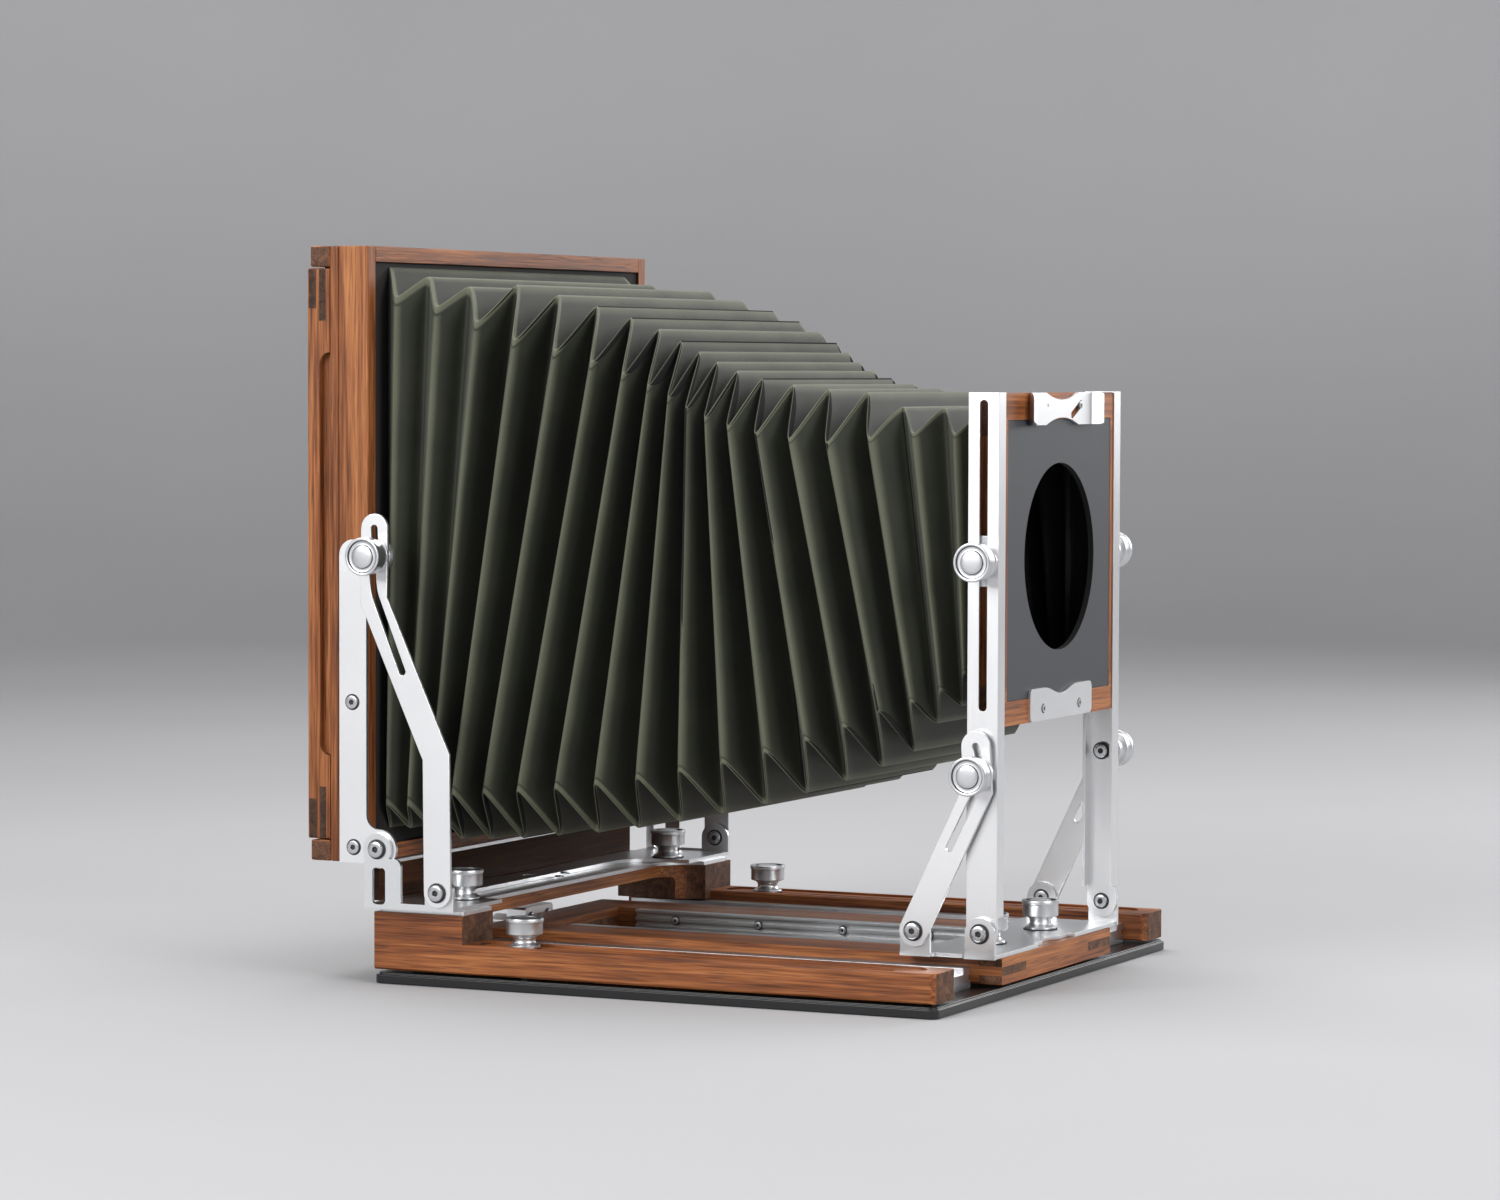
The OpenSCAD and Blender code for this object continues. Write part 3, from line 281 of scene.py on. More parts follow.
def satin_metal(name, base, roughness, grain=None, bump=0.06, mottle=900):
    """Fine satin or brushed metal; grain is the axis along which it was brushed."""
    finish = Finish(name, base, roughness, 1.0)
    fine = finish.noise(mottle, 2.0, drawn_out(grain, 0.03), 0.6)
    cloud = finish.noise(14, 3.0)
    finish.set(Roughness=fine * 0.14 + cloud * 0.08 + (roughness - 0.11))
    dim = tuple(0.9 * c for c in base)
    finish.set(Base_Color=finish.blend(fine * 0.5 + cloud * 0.4, base, dim))
    finish.bump(fine, bump, 0.00008)
    return finish.material


def bellows_cloth(name):
    """Coated olive cloth with a fine tooth; its outer folds carry a painted highlight and its corner edges
    are painted lighter.
    """
    finish = Finish(name, (0.04, 0.045, 0.028), 0.62)

    def mark(attribute):
        reader = finish.tree.nodes.new("ShaderNodeAttribute")
        reader.attribute_name = attribute
        return Wire(finish.tree, reader.outputs["Fac"])

    pebble = finish.noise(2300, 2.0, roughness=0.65)
    cloud = finish.noise(22, 3.0, offset=(3, 1, 7))
    # the outer folds get a painted highlight, strongest on the crests
    crest_highlight = (mark("crest") + cloud * 0.2 + pebble * 0.3 - 0.25).ramp(0.55, 1.05)
    # the corner edges are painted lighter
    light_edge = (mark("edge") + pebble * 0.5 - 0.25).ramp(0.25, 0.85)
    highlight_and_light_edge = (crest_highlight * 0.55).most(light_edge * 0.7)
    body = finish.colour(
        cloud * 0.5 + pebble * 0.5,
        (0.3, (0.012, 0.014, 0.0085)),
        (0.7, (0.033, 0.037, 0.022)),
    )
    # blends in the lighter colour of the painted crest highlight and of the corner edges
    finish.set(Base_Color=finish.blend(highlight_and_light_edge, body, (0.155, 0.166, 0.108)))
    finish.set(Roughness=pebble * 0.2 + 0.52 - highlight_and_light_edge * 0.06)
    finish.bump(pebble + cloud * 0.6, 0.4, 0.0003)
    finish.shader.inputs["Sheen Weight"].default_value = 0.16
    finish.shader.inputs["Sheen Roughness"].default_value = 0.4
    finish.shader.inputs["Specular IOR Level"].default_value = 0.4
    return finish.material


def plain_finish(name, base, roughness, mottle=600, spread=0.12, bump=0.1, depth=0.0001):
    """Painted, anodised or blackened surface with a fine even tooth."""
    finish = Finish(name, base, roughness)
    tooth = finish.noise(mottle, 2.0, roughness=0.6)
    cloud = finish.noise(18, 3.0, offset=(5, 2, 1))
    low = tuple(c * (1 - spread) for c in base)
    high = tuple(c * (1 + spread) for c in base)
    finish.set(Base_Color=finish.blend(cloud * 0.7 + tooth * 0.3, low, high))
    finish.set(Roughness=tooth * 0.1 + cloud * 0.08 + (roughness - 0.09))
    finish.bump(tooth, bump, depth)
    return finish.material


WOOD = [
    walnut("walnut_grain_x", 0, 1.2, offset=(2, 0, 0)),
    walnut("walnut_grain_y", 1, 1.19, offset=(0, 4, 0)),
    walnut("walnut_grain_z", 2, 1.1, offset=(0, 0, 6)),
]
END_PATCH = walnut("finger_end_grain", 0, 0.6, offset=(1, 3, 5), roughness=0.48)
DARK_WOOD = walnut("dark_walnut", 0, 0.2, offset=(7, 0, 0), roughness=0.6, shine=0.12)
ALUMINIUM = satin_metal("satin_aluminium", (0.915, 0.92, 0.93), 0.36)
TURNED = satin_metal("turned_aluminium", (0.7, 0.71, 0.725), 0.36, mottle=700)
# Darker metal painted into the knobs' grooves as shade
GROOVE_SHADE = satin_metal("knob_groove", (0.16, 0.163, 0.17), 0.4)
PLATE = satin_metal("smooth_plate", (0.84, 0.85, 0.86), 0.31)
EXTRUDED = satin_metal("extruded_aluminium", (0.6, 0.61, 0.625), 0.34, grain=1)
UPRIGHT = satin_metal("brushed_aluminium", (0.9, 0.905, 0.915), 0.34, grain=2, bump=0.12)
STEEL = satin_metal("turned_steel", (0.62, 0.625, 0.64), 0.29)
SOCKET = plain_finish("socket_shadow", (0.03, 0.03, 0.032), 0.45)
BRASS = satin_metal("satin_brass", (0.72, 0.52, 0.24), 0.3)
CLOTH = bellows_cloth("olive_bellows_cloth")
LINING = plain_finish("black_lining", (0.004, 0.004, 0.004), 0.95)
BLACK_PLATE = plain_finish("black_anodised", (0.009, 0.0095, 0.0105), 0.24, bump=0.05)
CHARCOAL = plain_finish("charcoal_board", (0.04, 0.043, 0.049), 0.5, mottle=1600, bump=0.25)
BLACK_BOARD = plain_finish("blackened_board", (0.012, 0.01, 0.009), 0.8)
RUBBER = plain_finish("dark_washer", (0.02, 0.02, 0.022), 0.6)


def ground_glass(name):
    finish = Finish(name, (0.86, 0.89, 0.89), 0.5)
    grit = finish.noise(2600, 2.0, roughness=0.7)
    finish.set(Roughness=grit * 0.2 + 0.42)
    finish.bump(grit, 0.3, 0.0001)
    finish.shader.inputs["Transmission Weight"].default_value = 0.75
    finish.shader.inputs["IOR"].default_value = 1.45
    return finish.material


GLASS = ground_glass("ground_glass")


# Pieces


def settle(piece, body, slot, *nodes):
    """Puts a finished piece on its body and hides what it stands for; its slot is not used."""
    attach(piece, body)
    if nodes:
        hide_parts(*nodes)
    return piece


def linked(name, data):
    """A new object that is part of the scene."""
    made = bpy.data.objects.new(name, data)
    bpy.context.collection.objects.link(made)
    return made


def add_piece(name, mesh, *materials):
    piece = linked(name, mesh)
    # clearing an empty list would also forget which material each face takes
    if mesh.materials:
        mesh.materials.clear()
    for material in materials:
        mesh.materials.append(material)
    return piece


# Angles in degrees: sharper edges than the first are eased, and than the second are shaded sharp
EASED_FROM = 30
SHARP_FROM = 50


def baked(piece, angle=EASED_FROM):
    """Applies a piece's modifiers and shades it smooth between its sharp edges."""
    graph = bpy.context.evaluated_depsgraph_get()
    mesh = bpy.data.meshes.new_from_object(piece.evaluated_get(graph))
    piece.modifiers.clear()
    piece.data = mesh
    mesh.shade_smooth()
    mesh.set_sharp_from_angle(angle=math.radians(angle))
    return piece


def eased(piece, width, segments=2):
    """Eases a piece's sharp edges with a small round."""
    bevel = piece.modifiers.new("eased_edges", "BEVEL")
    bevel.width = width
    bevel.segments = segments
    bevel.limit_method = "ANGLE"
    bevel.angle_limit = math.radians(EASED_FROM)
    bevel.use_clamp_overlap = True
    bevel.harden_normals = False
    baked(piece, SHARP_FROM)
    weight = piece.modifiers.new("even_shading", "WEIGHTED_NORMAL")
    weight.keep_sharp = True
    weight.weight = 100
    return baked(piece, SHARP_FROM)


def opened(mesh):
    """A bmesh of a mesh, to work on."""
    work = bmesh.new()
    work.from_mesh(mesh)
    return work


def closed(work, mesh):
    """Writes a bmesh into a mesh and frees it."""
    work.to_mesh(mesh)
    work.free()
    return mesh


def cut(work, place, way, clear_inner=False):
    """Cuts a bmesh along a plane, and drops what lies behind it when asked to."""
    parts = work.verts[:] + work.edges[:] + work.faces[:]
    bmesh.ops.bisect_plane(
        work, geom=parts, dist=1e-6, plane_co=place, plane_no=way, clear_inner=clear_inner
    )


def tidy_copy(node, flatten=True):
    """A CAD node's mesh with its doubles merged, and as clean flat faces where they hold no hole."""
    mesh = frame["nodes"][node].data.copy()
    work = opened(mesh)
    bmesh.ops.remove_doubles(work, verts=work.verts, dist=2e-6)
    if flatten:
        bmesh.ops.dissolve_limit(work, angle_limit=math.radians(0.5), verts=work.verts, edges=work.edges)
    return closed(work, mesh)


def finish_node(node, material, slot, width=0.35 * MM, segments=2, flatten=True):
    """Stands a copy of a CAD node, with eased edges and its real finish, in for the node."""
    piece = add_piece(node + "_finished", tidy_copy(node, flatten), material)
    eased(piece, width, segments)
    return settle(piece, BODY_OF[node], slot, node)


def board(work, low, high, grain):
    """Adds one square-edged board to a bmesh; grain is the index of its material."""
    made = bmesh.ops.create_cube(work, size=1.0)["verts"]
    centre = [(a + b) / 2 for a, b in zip(low, high)]
    span = [b - a for a, b in zip(low, high)]
    for vert in made:
        vert.co = Vector([c + s * x for c, s, x in zip(centre, span, vert.co)])
    for face in {f for v in made for f in v.link_faces}:
        face.material_index = grain


def joined(name, build, *materials, ease=0.4 * MM, segments=2):
    """A piece made by a function that fills a bmesh."""
    work = bmesh.new()
    build(work)
    bmesh.ops.recalc_face_normals(work, faces=work.faces)
    piece = add_piece(name, closed(work, bpy.data.meshes.new(name)), *materials)
    return eased(piece, ease, segments) if ease else baked(piece)


# Geometry trees


def number_inputs(tree, values):
    """Adds a tree's number inputs with their usual values."""
    for name, value in values:
        tree.interface.new_socket(
            name, in_out="INPUT", socket_type="NodeSocketFloat"
        ).default_value = value


def input_ids(tree):
    """The identifiers by which a modifier knows a tree's inputs."""
    return {item.name: item.identifier for item in tree.interface.items_tree if item.in_out == "INPUT"}


def attribute(tree, name, kind="FLOAT"):
    reader = tree.nodes.new("GeometryNodeInputNamedAttribute")
    reader.data_type = kind
    reader.inputs["Name"].default_value = name
    return reader.outputs[0]


def marked(tree, geometry, name, value):
    """Geometry that keeps a value under a name."""
    keeper = tree.nodes.new("GeometryNodeStoreNamedAttribute")
    keeper.inputs["Name"].default_value = name
    plug(tree, geometry, keeper.inputs["Geometry"])
    plug(tree, value, keeper.inputs["Value"])
    return keeper.outputs["Geometry"]


def moved(tree, geometry, position):
    mover = tree.nodes.new("GeometryNodeSetPosition")
    plug(tree, geometry, mover.inputs["Geometry"])
    plug(tree, position, mover.inputs["Position"])
    return mover.outputs["Geometry"]


def coloured(tree, geometry, material, selection=True):
    setter = tree.nodes.new("GeometryNodeSetMaterial")
    setter.inputs["Material"].default_value = material
    plug(tree, geometry, setter.inputs["Geometry"])
    plug(tree, selection, setter.inputs["Selection"])
    return setter.outputs["Geometry"]


# Bellows: one geometry tree shapes the whole, and each of its nine stretches takes its own folds

FOLDS = 36
REAR_Y, FRONT_Y = 0.2052, -0.1752
# Heights and half width at the rear and at the front end
TOP_Z = (0.4562, 0.3662)
LOW_Z = (0.106, 0.2034)
HALF_W = (0.178, 0.0794)
MIDDLE_Z = 0.29
# Rows of points in a fold and columns on a side
FOLD_ROWS = 10
SIDE_COLUMNS = 24
# How the folds crowd in the middle of the top and of the bottom: share of each wave
TOP_WAVES = (0.363, 0.141, 0.081)
LOW_WAVES = (0.392, 0.045, 0.028)
# How much the points crowd towards the corners, and where the lighter corner edges begin and end
CROWDING = 0.93
LIGHT_EDGE_BAND = (0.0018, 0.0062)
CLOTH_T = 0.8 * MM
# Where the deep pleats take over from the shallow ones, as shares of the way from each end
DEEP_FROM_REAR = (0.113, 0.173)
DEEP_FROM_FRONT = (0.11, 0.17)
# Length of a side, from which the width of its lighter edges is measured
SIDE_LENGTH = 0.3
# The last part of the half width belongs to the side walls
SIDE_WALL = (0.985, 1.0)
# How far the middle bulges sideways, and the slow wave of the top and of the width
BULGE = 0.0052
TOP_ROLL = 0.0052
WIDTH_ROLL = 0.0038
# Points closer than this are one
SEAM = 0.02 * MM


def pleated(tree, given, along, around):
    """A flat sheet's point on the bellows: its fold, its place, its lighter edge band and how far it crests
    out.
    """
    fold = (along + 0.5) * FOLDS
    t = fold / FOLDS
    turn = 2 * math.pi
    # points crowd towards the corners, which keeps their creases crisp
    even_way = (around + 0.5) * 4
    part = even_way - even_way.step("FLOOR")
    round_way = even_way - (part * turn).sin() * (CROWDING / turn)
    inset = part - (part * turn).sin() * (CROWDING / turn)
    edge = 1 - (inset.least(1 - inset) * SIDE_LENGTH).ramp(*LIGHT_EDGE_BAND)

    def mix(a, b):
        return t * (b - a) + a

    swing = (t * turn).sin() / turn
    swing2 = (t * (2 * turn)).sin() / (2 * turn)
    dip = ((t * turn).cos() - 1.0) / turn
    sag = (t * math.pi).sin()
    roll = (t * turn).sin()
    wide = t.ramp(*DEEP_FROM_REAR) * (1 - t).ramp(*DEEP_FROM_FRONT)
    depth = given["End Pleat Depth"] + (given["Middle Pleat Depth"] - given["End Pleat Depth"]) * wide
    side = ((1 - (round_way - 1.5).size()) * 2).between(-1.0, 1.0)
    rise = (1.5 - (round_way - 2.5).size()).between(0.0, 1.0)
    rounding = side.size().ramp(*SIDE_WALL) * (rise * (1 - rise) * 4).ramp(0.0, 0.3)
    sharpness = given["Edge Sharpness"] + (given["Side Sharpness"] - given["Edge Sharpness"]) * rounding
    crest = (((fold + 0.5) * math.pi).sin() * sharpness).arcsin() / sharpness.arcsin()
    half = depth * crest * 0.5
    top_run = t + swing * TOP_WAVES[0] - swing2 * TOP_WAVES[1] - dip * TOP_WAVES[2]
    low_run = t - swing * LOW_WAVES[0] - swing2 * LOW_WAVES[1] + dip * LOW_WAVES[2]
    y_top = top_run * (FRONT_Y - REAR_Y) + REAR_Y
    y_low = low_run * (FRONT_Y - REAR_Y) + REAR_Y
    z_top = mix(*TOP_Z) - sag * given["Top Sag"] + roll * TOP_ROLL + half
    z_low = mix(*LOW_Z) - sag * given["Bottom Sag"] - half
    width = mix(*HALF_W) + sag * BULGE - roll * WIDTH_ROLL - half
    place = tree.nodes.new("ShaderNodeCombineXYZ")
    plug(tree, side * width, place.inputs[0])
    plug(tree, y_low + (y_top - y_low) * rise, place.inputs[1])
    plug(tree, z_low + (z_top - z_low) * rise, place.inputs[2])
    # the sides crest where the top and the bottom fold inwards
    on_side = side.size().ramp(*SIDE_WALL) * (rise * (1 - rise)).ramp(0.0, 0.02)
    outward = crest * (1 - on_side * 2)
    return fold, place.outputs[0], edge, outward


def bellows_tree():
    """The whole bellows from a flat sheet, of which only the folds between two numbers stay."""
    tree = bpy.data.node_groups.new("pleated_bellows", "GeometryNodeTree")
    tree.interface.new_socket("Geometry", in_out="OUTPUT", socket_type="NodeSocketGeometry")
    number_inputs(tree, (
        ("First Fold", 0.0), ("Last Fold", float(FOLDS)),
        ("End Pleat Depth", 0.0168), ("Middle Pleat Depth", 0.034),
        ("Top Sag", 0.0176), ("Bottom Sag", 0.033),
        ("Edge Sharpness", 0.955), ("Side Sharpness", 0.84),
    ))
    entry = tree.nodes.new("NodeGroupInput")
    given = {s.name: Wire(tree, s) for s in entry.outputs if s.name}
    sheet = tree.nodes.new("GeometryNodeMeshGrid")
    sheet.inputs["Size X"].default_value = 1
    sheet.inputs["Size Y"].default_value = 1
    sheet.inputs["Vertices X"].default_value = FOLDS * FOLD_ROWS + 1
    sheet.inputs["Vertices Y"].default_value = 4 * SIDE_COLUMNS + 1
    here = tree.nodes.new("GeometryNodeInputPosition")
    split = tree.nodes.new("ShaderNodeSeparateXYZ")
    plug(tree, here.outputs[0], split.inputs[0])
    along, around = (Wire(tree, split.outputs[k]) for k in range(2))
    fold, place, edge, outward = pleated(tree, given, along, around)
    geometry = sheet.outputs["Mesh"]
    for name, value in (("crest", outward), ("fold", fold), ("edge", edge)):
        geometry = marked(tree, geometry, name, value)
    seamless = tree.nodes.new("GeometryNodeMergeByDistance")
    plug(tree, moved(tree, geometry, place), seamless.inputs["Geometry"])
    seamless.inputs["Distance"].default_value = SEAM
    soften = tree.nodes.new("GeometryNodeBlurAttribute")
    soften.data_type = "FLOAT_VECTOR"
    soften.inputs["Iterations"].default_value = 1
    again = tree.nodes.new("GeometryNodeInputPosition")
    value_in = next(s for s in soften.inputs if s.type == "VECTOR" and s.enabled)
    plug(tree, again.outputs[0], value_in)
    value_out = next(s for s in soften.outputs if s.type == "VECTOR" and s.enabled)
    relaxed = moved(tree, seamless.outputs["Geometry"], value_out)
    at_face = tree.nodes.new("GeometryNodeFieldOnDomain")
    at_face.domain = "FACE"
    at_face.data_type = "FLOAT"
    plug(tree, attribute(tree, "fold"), at_face.inputs[0])
    spot = Wire(tree, at_face.outputs[0])
    outside = (given["First Fold"] - spot).most(spot - given["Last Fold"]).step("GREATER_THAN", 0.0)
    trimmed = tree.nodes.new("GeometryNodeDeleteGeometry")
    trimmed.domain = "FACE"
    plug(tree, relaxed, trimmed.inputs["Geometry"])
    plug(tree, outside, trimmed.inputs["Selection"])
    leave = tree.nodes.new("NodeGroupOutput")
    plug(tree, coloured(tree, trimmed.outputs["Geometry"], CLOTH), leave.inputs[0])
    return tree


# The bodies from the back to the lens, each with the number of folds on its way to the next
STRETCHES = (
    ("rear_standard", 10), ("rear_swing_plate", 2), ("rear_carriage", 4), ("base", 3), ("front_bed", 5),
    ("front_carriage", 1), ("front_plate", 4), ("front_uprights", 3), ("lens_slider", 4), ("lens_frame", 0),
)


def rim_points(mesh, value):
    """Where the mesh's own points lie on one fold line."""
    marks = mesh.attributes["fold"].data
    return [v.co.copy() for v in mesh.vertices if abs(marks[v.index].value - value) < 1e-3]


def add_bellows():
    tree = bellows_tree()
    ids = input_ids(tree)
    followers = [body for body, count in STRETCHES[1:]]
    first = 0
    for (body, count), next_body in zip(STRETCHES, followers):
        last = first + count
        piece = linked(f"bellows_{body}_to_{next_body}", bpy.data.meshes.new("bellows_holder"))
        shape = piece.modifiers.new("pleats", "NODES")
        shape.node_group = tree
        shape[ids["First Fold"]] = float(first)
        shape[ids["Last Fold"]] = float(last)
        graph = bpy.context.evaluated_depsgraph_get()
        mesh = bpy.data.meshes.new_from_object(piece.evaluated_get(graph))
        piece.modifiers.clear()
        piece.data = mesh
        start_rim = rim_points(mesh, first)
        end_rim = rim_points(mesh, last)
        mesh.materials.clear()
        mesh.materials.append(CLOTH)
        mesh.materials.append(LINING)
        outward_votes = sum(
            1 if face.normal.dot(face.center - Vector((0, face.center.y, MIDDLE_Z))) > 0 else -1
            for face in mesh.polygons
        )
        if outward_votes < 0:
            mesh.flip_normals()
        cloth = piece.modifiers.new("cloth_thickness", "SOLIDIFY")
        cloth.thickness = CLOTH_T
        cloth.offset = -1
        cloth.material_offset = 1
        cloth.material_offset_rim = 1
        baked(piece, 180)
        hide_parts("bellows")
        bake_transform(piece)
        first = last


add_bellows()


# Turned parts


def lathe(work, rows, steps, aim, origin, material_index=0, lid=True):
    """Spins rows of (radius, height, shape) about an axis; shape is round or hex."""
    aim = Vector(aim).normalized()
    side = aim.orthogonal().normalized()
    other = aim.cross(side)
    loops = []
    faces = []
    for radius, height, shape in rows:
        loop = []
        for k in range(steps):
            angle = 2 * math.pi * k / steps
            reach = radius
            if shape == "hex":
                to_corner = (angle % (math.pi / 3)) - math.pi / 6
                reach = radius * math.cos(math.pi / 6) / math.cos(to_corner)
            loop.append(work.verts.new(
                Vector(origin) + aim * height + (side * math.cos(angle) + other * math.sin(angle)) * reach
            ))
        loops.append(loop)
    for lower, upper in zip(loops, loops[1:]):
        for k in range(steps):
            n = (k + 1) % steps
            faces.append(work.faces.new((lower[k], lower[n], upper[n], upper[k])))
    faces.append(work.faces.new(loops[0][::-1]))
    if lid:
        faces.append(work.faces.new(loops[-1]))
    for face in faces:
        face.material_index = material_index
    return faces


# A knob's outline in millimetres, (radius, height): its foot, a waist and its head
KNOB_NECK = 8.6
SHORT_NECK = 5.6
KNOB_STEPS = 128
KNOB_FOOT = (
    (6.0, 0.0), (9.8, 0.0), (10.2, 0.35), (10.2, 1.3), (9.9, 1.75), (9.2, 2.0), (8.4, 2.5), (7.6, 3.2),
    (7.15, 4.0), (7.0, 4.6),
)
KNOB_HEAD = (
    (7.1, 5.9), (7.55, 6.8), (8.4, 7.6), (9.6, 8.2), (10.8, 8.5), (11.5, 8.75), (11.85, 9.2), (11.9, 9.8),
    (11.9, 16.3), (12.05, 16.6), (12.35, 16.8), (12.4, 17.1), (12.4, 18.8), (12.25, 19.2), (11.9, 19.4),
    (11.0, 19.4), (10.6, 19.2), (10.4, 18.8), (10.25, 18.3), (9.9, 18.1), (8.5, 18.05), (7.8, 18.15),
    (7.5, 18.5), (7.2, 18.95), (6.4, 19.25), (4.8, 19.45), (2.6, 19.55), (0.4, 19.6),
)

# Steps of the head's outline that lie in its two grooves, which take a painted shade
GROOVED = (16, 17, 18, 21, 22)
# Dark washer under a knob
WASHER = ((6, -0.28), (11.2, -0.28), (11.4, 0.3), (6, 0.3))


def knob_rows(neck):
    """A knob's outline from its foot up: flared foot, waist, head with a rim, groove and domed middle."""
    rows = [(r, h * min(1, neck / KNOB_NECK)) for r, h in KNOB_FOOT]
    rows += [(r, h + neck - KNOB_NECK) for r, h in KNOB_HEAD]
    return [(r * MM, h * MM, "round") for r, h in rows]


def add_knob(node, aim, origin, washer=False, neck=KNOB_NECK):
    """One clamping knob, in place of its plain CAD twin."""
    def build(work):
        rows = knob_rows(neck)
        lathe(work, rows, KNOB_STEPS, aim, origin)
        steps = len(rows) - 1
        work.faces.ensure_lookup_table()
        # the grooves take the painted shade
        for row in (len(KNOB_FOOT) + k for k in GROOVED):
            if row < steps:
                for face in work.faces[row * KNOB_STEPS:(row + 1) * KNOB_STEPS]:
                    face.material_index = 2
        if washer:
            lathe(work, [(r * MM, h * MM, "round") for r, h in WASHER], KNOB_STEPS // 2, aim, origin, 1)
    piece = joined(node + "_turned", build, TURNED, RUBBER, GROOVE_SHADE, ease=0)
    return settle(piece, BODY_OF[node], "satin_aluminium", node)


# Places of pivots and clamps on both sides, as (y, z)
REAR_PIVOT = (0.1937, 0.0874)
REAR_CLAMP = (0.1937, 0.2776)
REAR_FOOT = (0.1478, 0.0614)
FRONT_PIVOT = (-0.1885, 0.0425)
FRONT_CLAMP = (-0.1885, 0.1438)
FRONT_FOOT = (-0.144, 0.0425)
LENS_CENTRE = (-0.1885, 0.278)


def add_knobs():
    for side, s in (("left", -1), ("right", 1)):
        add_knob(f"rail_knob_{side}", (0, 0, 1), (s * 0.184, 0.0968, 0.0266))
        add_knob(f"rear_plate_knob_{side}", (0, 0, 1), (s * 0.15, 0.1594, 0.0518), washer=True)
        add_knob(f"rear_tilt_knob_{side}", (s, 0, 0), (s * 0.2084, *REAR_CLAMP), neck=SHORT_NECK)
        add_knob(f"front_plate_knob_{side}", (0, 0, 1), (s * 0.044, -0.1685, 0.029), washer=True)
        add_knob(f"front_tilt_knob_{side}", (s, 0, 0), (s * 0.112, *FRONT_CLAMP))
        add_knob(f"rise_knob_{side}", (s, 0, 0), (s * 0.1064, *LENS_CENTRE))


add_knobs()


# Socket screws: one head, set on points by a geometry tree


# A head's outline for unit radius and height, (radius, height): painted shadow ring, head, socket
SCREW_SHADOW_RING = ((0.9, 0), (1.26, 0), (1.26, 0.1), (0.9, 0.1))
SCREW_HEAD = ((0.96, 0.0), (1.0, 0.08), (1.0, 0.8), (0.97, 0.93), (0.9, 1.0), (0.55, 1.0))
SCREW_SOCKET = ((0.48, 1.0), (0.44, 0.93), (0.42, 0.5))
SCREW_STEPS = 48
SCREW_SHARP_FROM = 35


def screw_head():
    """A socket head of unit radius and height: a painted shadow ring under it and a hexagonal recess with
    painted shade inside.
    """
    work = bmesh.new()
    dark = work.faces.layers.float.new("dark")
    ring = lathe(work, [(r, h, "round") for r, h in SCREW_SHADOW_RING], SCREW_STEPS, (0, 0, 1), (0, 0, 0))
    rows = [(r, h, "round") for r, h in SCREW_HEAD] + [(r, h, "hex") for r, h in SCREW_SOCKET]
    head = lathe(work, rows, SCREW_STEPS, (0, 0, 1), (0, 0, 0))
    # the ring and the inside of the socket take the painted shade
    for face in ring:
        face[dark] = 1.0
    for face in head:
        middle = face.calc_center_median()
        if middle.z < 0.95 and middle.xy.length < 0.45 and face.normal.z > -0.5:
            face[dark] = 1.0
    bmesh.ops.recalc_face_normals(work, faces=work.faces)
    mesh = closed(work, bpy.data.meshes.new("screw_head"))
    mesh.shade_smooth()
    mesh.set_sharp_from_angle(angle=math.radians(SCREW_SHARP_FROM))
    return linked("screw_head", mesh)


def screw_tree(head):
    """Puts a copy of the head on every point, turned to the point's aim."""
    tree = bpy.data.node_groups.new("socket_screws", "GeometryNodeTree")
    for way in ("INPUT", "OUTPUT"):
        tree.interface.new_socket("Geometry", in_out=way, socket_type="NodeSocketGeometry")
    number_inputs(tree, (("Head Radius", 0.005), ("Head Height", 0.0026)))
    entry = tree.nodes.new("NodeGroupInput")
    model = tree.nodes.new("GeometryNodeObjectInfo")
    model.inputs["Object"].default_value = head
    turn = tree.nodes.new("FunctionNodeAlignRotationToVector")
    turn.axis = "Z"
    plug(tree, attribute(tree, "aim", "FLOAT_VECTOR"), turn.inputs["Vector"])
    size = tree.nodes.new("ShaderNodeCombineXYZ")
    for place, name in enumerate(("Head Radius", "Head Radius", "Head Height")):
        plug(tree, entry.outputs[name], size.inputs[place])
    spread = tree.nodes.new("GeometryNodeInstanceOnPoints")
    plug(tree, entry.outputs["Geometry"], spread.inputs["Points"])
    plug(tree, model.outputs["Geometry"], spread.inputs["Instance"])
    plug(tree, turn.outputs[0], spread.inputs["Rotation"])
    plug(tree, size.outputs[0], spread.inputs["Scale"])
    real = tree.nodes.new("GeometryNodeRealizeInstances")
    plug(tree, spread.outputs[0], real.inputs[0])
    in_shadow = Wire(tree, attribute(tree, "dark")).step("GREATER_THAN", 0.5)
    metal = coloured(tree, real.outputs[0], STEEL)
    leave = tree.nodes.new("NodeGroupOutput")
    plug(tree, coloured(tree, metal, SOCKET, in_shadow), leave.inputs[0])
    return tree


def side_pair(x, y, z):
    """The same screw on both sides, facing outwards."""
    return [((x, y, z), (1, 0, 0)), ((-x, y, z), (-1, 0, 0))]


def facing_in(x, y, z):
    """The same screw on both sides, facing the middle."""
    return [((x, y, z), (-1, 0, 0)), ((-x, y, z), (1, 0, 0))]


def facing_front(y, *places):
    """Screws at (x, z) places, facing the front."""
    return [((x, y, z), (0, -1, 0)) for x, z in places]


